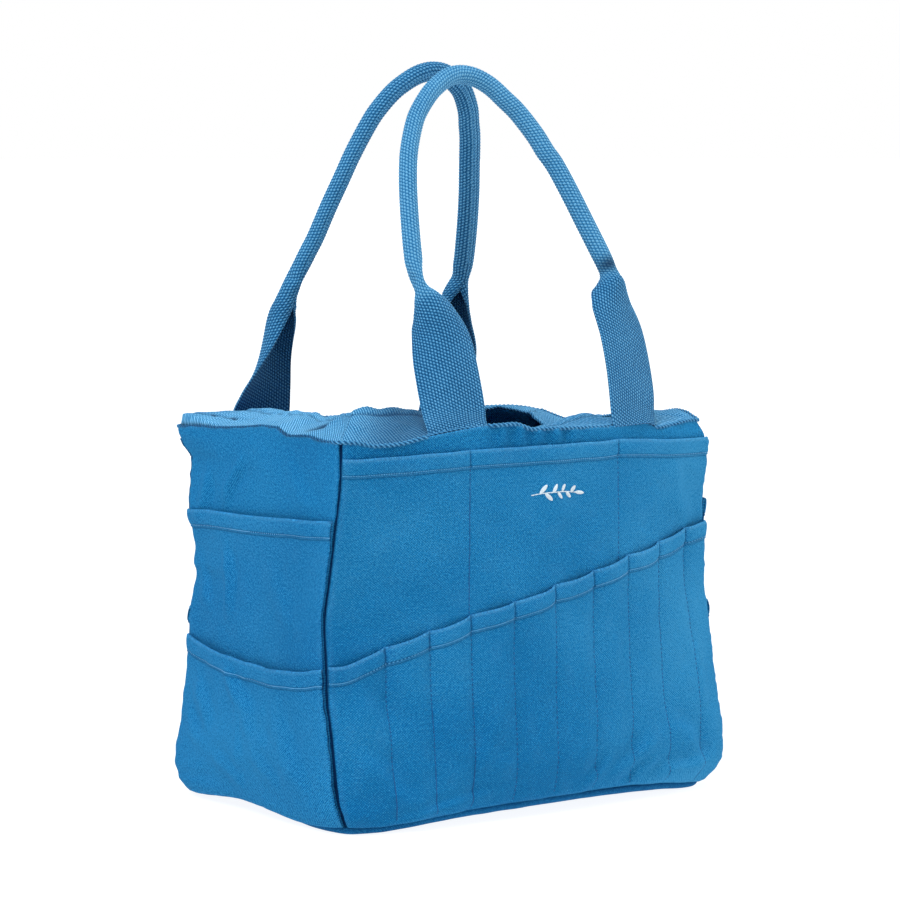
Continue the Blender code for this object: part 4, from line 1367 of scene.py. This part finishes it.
def handle_frame(path, facing):
    """Distances, points, along and across directions of a handle's line, and its outward one."""
    line, run = dense_path(path)
    tangent = unit(np.gradient(line, axis=0))
    reach = 25      # rows averaged either way
    padded = np.pad(tangent, ((reach, reach), (0, 0)), "edge")
    kernel = np.ones(2 * reach + 1) / (2 * reach + 1)
    tangent = unit(np.stack([np.convolve(column, kernel, "valid") for column in padded.T], 1))
    up = np.array([0, -facing * math.sin(LEAN), math.cos(LEAN)])
    out = np.array([0, facing * math.cos(LEAN), math.sin(LEAN)])
    right = np.array([1.0, 0, 0])
    hinge = np.array([0, facing * (HINGE_Y - 2.2 * MM), HINGE_Z])
    points = hinge + line[:, :1] * right + line[:, 1:] * up
    along = tangent[:, :1] * right + tangent[:, 1:] * up
    across = tangent[:, 1:] * right - tangent[:, :1] * up
    return run, points, along, across, out


def tape_section(curl, tuck, wide, flat):
    """The tape's middle line over its flat width, as (across, outward), for each row."""
    tuck, wide = tuck[:, None], wide[:, None]
    core = np.minimum(np.abs(flat), GRIP_ARC) * np.sign(flat)
    stretch = 1 + tuck * (TAPE_WIDTH / 2 / GRIP_ARC - 1)
    angle = -curl[:, None] / TAPE_WIDTH * (flat * (1 - tuck) + core * stretch * tuck)
    over = np.clip((np.abs(flat) - GRIP_ARC) / (2.2 * MM), 0, 1) * np.sign(flat)
    angle = angle - over * tuck * math.radians(72)

    def summed(slope):
        steps = np.cumsum((slope[:, 1:] + slope[:, :-1]) / 2 * (flat[1] - flat[0]), 1)
        return np.concatenate([np.zeros((len(slope), 1)), steps], 1)

    across, outward = summed(np.cos(angle)), summed(np.sin(angle))
    centre = len(flat) // 2
    across = across - across[:, centre:centre + 1]
    outward = outward - (outward.min(1, keepdims=True) + outward.max(1, keepdims=True)) / 2
    return across * wide, outward * (1 + 0.35 * (1 - wide))


def yarn_height(row, col):
    """Relief of the tape's weave, -0.35 between the yarns to 1 on their crowns."""
    phase = (row + 2 * ((col // 2) % 2)) % 4
    return np.where(col % 2 == 0, np.choose(phase, [1.0, 0.45, -0.15, 0.45]), -0.35)


def yarn_crown(height):
    return np.clip((height + 0.35) / 1.35, 0, 1)


def handle(name, facing, path):
    run, points, along, across, out = handle_frame(path, facing)
    total = run[-1]
    up_left, up_right = run - 4.0 * MM, total - run - 4.0 * MM     # distance up each leg

    def leg_value(key):
        left = curve(up_left / MM, LEGS[name + "_left"][key])
        right = curve(up_right / MM, LEGS[name + "_right"][key])
        share = smooth(0.35, 0.65, up_left / total)
        return left * (1 - share) + right * share

    tuck = leg_value("tuck")
    flat = np.linspace(-TAPE_WIDTH / 2, TAPE_WIDTH / 2, TAPE_COLUMNS + 1)
    section_x, section_out = tape_section(leg_value("curl"), tuck, leg_value("wide"), flat)
    # turn is a yaw about the leg; the line runs down the right leg, so it is mirrored there
    turn = np.radians(leg_value("turn")) * np.where(up_left < up_right, 1.0, -1.0)
    cos, sin = np.cos(turn)[:, None], np.sin(turn)[:, None]
    side_axis = across * cos + np.cross(along, across) * sin
    out_axis = out * cos + np.cross(along, out) * sin
    middle = (points[:, None] + side_axis[:, None] * section_x[..., None]
              + out_axis[:, None] * section_out[..., None])
    for end, distance in ((0, run), (-1, total - run)):    # sewn ends follow the top of the wall
        wanted = top_z(wall_loop(middle[end, :, 0], facing)) - 0.6 * MM
        shift = wanted - middle[end, :, 2]
        middle[..., 2] += shift[None] * smooth(24 * MM, 0.0, distance)[:, None]
    normals = np.cross(np.gradient(middle, axis=1), np.gradient(middle, axis=0))
    normals /= np.linalg.norm(normals, axis=-1, keepdims=True) + 1e-12
    facing_out = np.einsum("ijk,ik->ij", normals, out_axis)[:, TAPE_COLUMNS // 2]
    normals *= np.sign(facing_out.mean())

    row = np.arange(len(run))[:, None]
    col = np.arange(TAPE_COLUMNS + 1)[None]
    edge = np.minimum(col, TAPE_COLUMNS - col) == 0
    yarn = np.where(edge, 0.2, yarn_height(row, col))
    yarn_under = yarn_height(row + 2, col)
    relief, half = 0.33 * MM, 0.88 * MM
    top = middle + normals * (half + relief * yarn)[..., None]
    under = middle - normals * (half + relief * np.where(edge, 0.2, yarn_under))[..., None]
    section = np.concatenate([top, under[:, ::-1]], 1)
    rows, cols = section.shape[:2]
    quads, tris = strip_faces(rows, cols)
    shape = yarn.shape
    cloth = np.stack([np.broadcast_to(row * TAPE_ROW, shape),
                      np.broadcast_to(flat + TAPE_WIDTH / 2, shape),
                      np.full(shape, 4.0 + (facing > 0))], -1)
    # painted shade on the tape's under face where it is rolled into the grip
    inside = np.broadcast_to((0.75 * smooth(0.5, 1.0, tuck))[:, None], shape)
    crease = np.zeros(shape)
    if facing > 0:      # the inner face of the back legs is darker, as painted shade
        low = 0.50 * smooth(150 * MM, 105 * MM, np.minimum(up_left, up_right))
        inside = np.maximum(inside, low[:, None])
    else:               # the tape is gathered hard where the right grip starts, with painted shade in the crease
        crease = bump(up_right - 125 * MM, 6.5 * MM)[:, None] * bump(flat - 1.0 * MM, 9.0 * MM)
    # the yarn crowns, stored as the mask for a painted highlight on them
    attrs = {
        "wv": np.concatenate([cloth, cloth[:, ::-1]], 1).reshape(-1, 3),
        "wear_and_crown_highlight": np.concatenate([yarn_crown(yarn), yarn_crown(yarn_under)[:, ::-1]], 1).ravel(),
        "painted_shade": np.concatenate([crease, inside], 1).ravel(),
        "pale": np.repeat(smooth(0.6, 1.0, tuck) * (1.0 if facing < 0 else 0.35), cols),
    }
    obj = mesh_object(name + "_handle_tape", section, quads, HANDLE_WEB, tris, attrs)
    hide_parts(name + "_handle_webbing")
    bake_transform(obj)

    grip = (up_left > 126 * MM) & (up_right > 126 * MM)
    cord = tube(name + "_handle_cord", points[grip][::4], CORD, sides=10,
                radii=(3.4 * MM, 3.4 * MM), up=out)
    settle(cord, "core_cord", name + "_handle_core_cord", body=name + "_handle")
    # the row that closes the grip lies in the slit, on the side that faces the middle of the bag
    depth = section_out[grip].min(1) - 0.75 * MM
    slit = points[grip] + out_axis[grip] * depth[:, None]
    closing = stitches(name + "_handle_grip_stitches", slit[::2], -out_axis[grip][::2],
                       HEM_THREAD, pitch=3.0, length=2.4, radius=0.34)
    settle(closing, "thread", name + "_handle_grip_thread", body=name + "_handle")


handle("front", -1, FRONT_PATH)
handle("back", 1, BACK_PATH)

# ---------------------------------------------------------------- rim selvedges
ROPE_LOOP = np.linspace(0, 4, 2601)[:-1]
LEG_LOOPS = [wall_loop(x * MM, facing)
             for x, facing in ((-75.2, -1), (87.2, -1), (-93.8, 1), (78.5, 1))]


def rope(name, line, radius, pitch, thin):
    """A twisted selvedge along the loop; thin scales its radius point by point."""
    step = np.linalg.norm(np.roll(line, -1, 0) - line, axis=1)
    run = np.concatenate([[0], np.cumsum(step)[:-1]])
    phase = run / step.sum() * round(step.sum() / pitch / 2) * 2 * PI
    sides = 8
    angle = np.arange(sides) * 2 * PI / sides
    crest = np.cos(2 * (angle[None] - phase[:, None]))
    # painted highlight on the crests of the twist and painted shade between them, with less
    # highlight where the rope is thinned
    crown = ((0.5 + 0.5 * crest) * (1.35 * thin - 0.35)[:, None]).ravel()
    cloth = np.stack([np.repeat(run, sides), np.tile(angle * radius, len(line)),
                      np.full(len(crown), 3.0)], -1)
    obj = tube(name, line, SELVEDGE, sides=sides, radii=(radius, radius), closed=True,
               swell=thin[:, None] * (1.0 + 0.30 * crest),
               attrs={"wv": cloth, "wear_and_crown_highlight": crown, "painted_shade": 0 * crown})
    settle(obj, "rim_webbing")


def outer_selvedge():
    """Follows the canvas top edge, stepping in behind the handle legs."""
    loop = ROPE_LOOP
    edge_z = top_z(loop)
    points, normals = plan(loop, edge_z)
    at_legs = sum(smooth(0.085, 0.070, np.abs(loop_gap(loop, leg))) for leg in LEG_LOOPS)
    inward = 0.1 * MM + at_legs * 2.6 * MM - 0.25 * MM * np.sin(loop * 70)
    line = np.column_stack([points - normals * inward[:, None], edge_z + 0.5 * MM])
    thin = 1.0 - 0.42 * smooth(2.98, 3.06, loop) * smooth(3.99, 3.93, loop)
    rope("rim_outer_selvedge", line, radius=1.30 * MM, pitch=3.8 * MM, thin=thin)


outer_selvedge()
rope("rim_inner_selvedge", rim_point(ROPE_LOOP, np.ones_like(ROPE_LOOP)), radius=0.95 * MM,
     pitch=3.0 * MM, thin=np.ones_like(ROPE_LOOP))


def leg_end(name, x, facing):
    """The sewn-in end of a handle leg, flat inside the wall."""
    side = 0 if facing < 0 else 2
    length = SIDE_LENGTH[side]
    run = (wall_loop(x, facing) - side) * length
    fracs = np.linspace(run - TAPE_WIDTH / 2, run + TAPE_WIDTH / 2, TAPE_COLUMNS + 1) / length
    heights = np.arange(0.2525, 0.2770, TAPE_ROW)
    frac, z = np.meshgrid(fracs, heights, indexing="ij")
    row = np.arange(len(heights))[None]
    col = np.arange(TAPE_COLUMNS + 1)[:, None]
    yarn = yarn_height(row, col)
    outer = place(side, frac, z, -CLOTH - 0.35 * MM)
    inner = place(side, frac, z, -CLOTH - 2.05 * MM - 0.33 * MM * yarn)
    section = np.concatenate([outer, inner[:, ::-1]], 1)
    quads, tris = strip_faces(*section.shape[:2])
    cloth = np.stack([np.broadcast_to(row * TAPE_ROW, z.shape),
                      np.broadcast_to(col * TAPE_WIDTH / TAPE_COLUMNS, z.shape),
                      np.full(z.shape, 6 + x)], -1)
    # the yarn crowns, stored as the mask for a painted highlight on them
    crown = yarn_crown(yarn)
    wear_and_crown_highlight = np.concatenate([crown, crown[:, ::-1]], 1).ravel()
    obj = mesh_object(name + "_leg_end", section, quads, HANDLE_WEB, tris,
                      {"wv": np.concatenate([cloth, cloth[:, ::-1]], 1).reshape(-1, 3),
                       "wear_and_crown_highlight": wear_and_crown_highlight, "painted_shade": 0 * wear_and_crown_highlight})
    settle(obj, "webbing", name + "_handle_tab")


leg_end("front_left", -75.6 * MM, -1)
leg_end("front_right", 86.8 * MM, -1)
leg_end("back_left", -93.7 * MM, 1)
leg_end("back_right", 78.5 * MM, 1)

# ---------------------------------------------------------------- embroidery
SPRIG_START, SPRIG_END, SPRIG_Z = -17.5 * MM, 27.5 * MM, 237.8 * MM
# (place along the sprig, 1 for a leaf above the stem or -1 for below)
LEAVES = ((0.16, 1), (0.25, -1), (0.38, 1), (0.48, -1), (0.60, 1), (0.71, -1), (0.82, 1))


def satin_pad(x, z, angle, half, wide, high):
    """Points of a padded oval on the front pocket, with a ridge for each pass of the thread."""
    along, across = np.meshgrid(np.linspace(-1, 1, 33), np.linspace(-1, 1, 9), indexing="ij")
    width = np.sqrt(np.clip(1 - along**2, 0, 1)) ** 1.2
    pad_x, pad_z = along * half, across * width * wide
    cos, sin = math.cos(angle), math.sin(angle)
    frac = front_run(x + pad_x * cos - pad_z * sin) / SIDE_LENGTH[0]
    pad_z = z + pad_x * sin + pad_z * cos
    ridge = 1 + 0.22 * np.cos(2 * PI * along * half / (0.42 * MM))
    dome = np.sqrt(np.clip(1 - (across * 0.98) ** 2, 0, 1))
    height = high * dome * (0.35 + 0.65 * width) * ridge
    top, _ = front_upper.surface(frac, pad_z, height + 0.05 * MM)
    low, _ = front_upper.surface(frac, pad_z, -0.10 * MM)
    return np.concatenate([top, low[:, ::-1]], 1)


def sprig():
    """A small plain leaf sprig in white satin stitch on the front."""
    length = SPRIG_END - SPRIG_START
    stem_x = np.linspace(SPRIG_START, SPRIG_END - 3 * MM, 15)
    sway = np.sin((stem_x - SPRIG_START) / length * PI * 1.1)
    stem_z = SPRIG_Z - 0.8 * MM + 1.6 * MM * sway
    pads = []
    for x0, z0, x1, z1 in zip(stem_x, stem_z, stem_x[1:], stem_z[1:]):
        pads.append(satin_pad((x0 + x1) / 2, (z0 + z1) / 2, math.atan2(z1 - z0, x1 - x0),
                              half=1.75 * MM, wide=0.42 * MM, high=0.45 * MM))
    for i, (share, up) in enumerate(LEAVES):
        x = SPRIG_START + share * length
        z = float(np.interp(x, stem_x, stem_z))
        angle = math.radians(48 if up > 0 else -44)
        half = (4.3 - 0.22 * i) * MM
        pads.append(satin_pad(x + half * math.cos(angle), z + half * math.sin(angle), angle,
                              half=half, wide=1.45 * MM, high=0.62 * MM))
    pads.append(satin_pad(SPRIG_END - 0.3 * MM, float(stem_z[-1]) - 0.2 * MM, math.radians(-8),
                          half=3.9 * MM, wide=1.35 * MM, high=0.60 * MM))
    verts, quads, tris = [], [], []
    for i, pad in enumerate(pads):
        rows, cols = pad.shape[:2]
        base = i * rows * cols
        pad_quads, pad_tris = strip_faces(rows, cols)
        verts.append(pad.reshape(-1, 3))
        quads.append(pad_quads + base)
        tris += [[corner + base for corner in face] for face in pad_tris]
    obj = mesh_object("sprig_embroidery", np.concatenate(verts), np.concatenate(quads),
                      SPRIG_THREAD, tris)
    settle(obj, "thread")


sprig()


# ---------------------------------------------------------------- stage
def add_floor():
    bpy.ops.mesh.primitive_plane_add(size=600, location=(0, 0, -0.2 * MM))
    floor = bpy.context.object
    floor.name = "floor"
    mat = Shader("floor_pale")
    noise = mat.noise(mat.object_place(), scale=3.0, detail=2.0)
    mat.surface({
        "Base Color": mat.mix(mat.ramp(noise, span=(0.3, 0.7)), (0.27, 0.27, 0.27),
                              (0.29, 0.29, 0.29)),
        "Roughness": 0.9,
        "Specular IOR Level": 0.0,
        "Emission Color": (1.0, 1.0, 1.0, 1.0),
        "Emission Strength": 0.90,
    })
    floor.data.materials.append(mat.material)


def add_world():
    """White to the camera, grey as a light."""
    world = bpy.data.worlds.new("studio")
    bpy.context.scene.world = world
    world.use_nodes = True
    tree = world.node_tree
    background = tree.nodes["Background"]
    light_path = tree.nodes.new("ShaderNodeLightPath")
    mix = tree.nodes.new("ShaderNodeMix")
    mix.data_type = "RGBA"
    tree.links.new(light_path.outputs["Is Camera Ray"], mix.inputs["Factor"])
    mix.inputs["A"].default_value = (0.36, 0.370, 0.365, 1)
    mix.inputs["B"].default_value = (1.0, 1.0, 1.0, 1)
    tree.links.new(mix.outputs["Result"], background.inputs["Color"])
    background.inputs["Strength"].default_value = 1.0


def direction(azimuth, height):
    """Unit vector at a compass angle (0 = -Y, 90 = +X) and a height, in degrees."""
    turn, rise = math.radians(azimuth), math.radians(height)
    return Vector((math.sin(turn) * math.cos(rise), -math.cos(turn) * math.cos(rise),
                   math.sin(rise)))


def sun(name, azimuth, height, power, spread, tint=(1.0, 1.0, 1.0)):
    """A soft distant light from a direction; spread in degrees."""
    data = bpy.data.lights.new(name, "SUN")
    data.energy = power
    data.angle = math.radians(spread)
    data.color = tint
    obj = bpy.data.objects.new(name, data)
    obj.rotation_euler = direction(azimuth, height).to_track_quat("Z", "Y").to_euler()
    bpy.context.scene.collection.objects.link(obj)


def add_camera(azimuth, height, distance, target, lens):
    data = bpy.data.cameras.new("camera")
    data.sensor_width = 36.0
    data.lens = lens
    camera = bpy.data.objects.new("camera", data)
    scene = bpy.context.scene
    scene.collection.objects.link(camera)
    away = direction(azimuth, height)
    camera.location = Vector(target) + away * distance
    camera.rotation_euler = away.to_track_quat("Z", "Y").to_euler()
    scene.camera = camera


add_floor()
add_world()
sun("key", azimuth=-74, height=53, power=2.05, spread=40, tint=(0.78, 1.0, 1.13))
sun("top", azimuth=20, height=82, power=0.80, spread=60)
sun("side", azimuth=66, height=24, power=1.15, spread=40)
add_camera(azimuth=-36.08, height=5.10, distance=2.5009, target=(0.0023, 0.0, 0.2599), lens=132.0)

view = bpy.context.scene.view_settings
view.view_transform = "Standard"
view.look = "None"
view.exposure = 0.0
view.gamma = 1.0
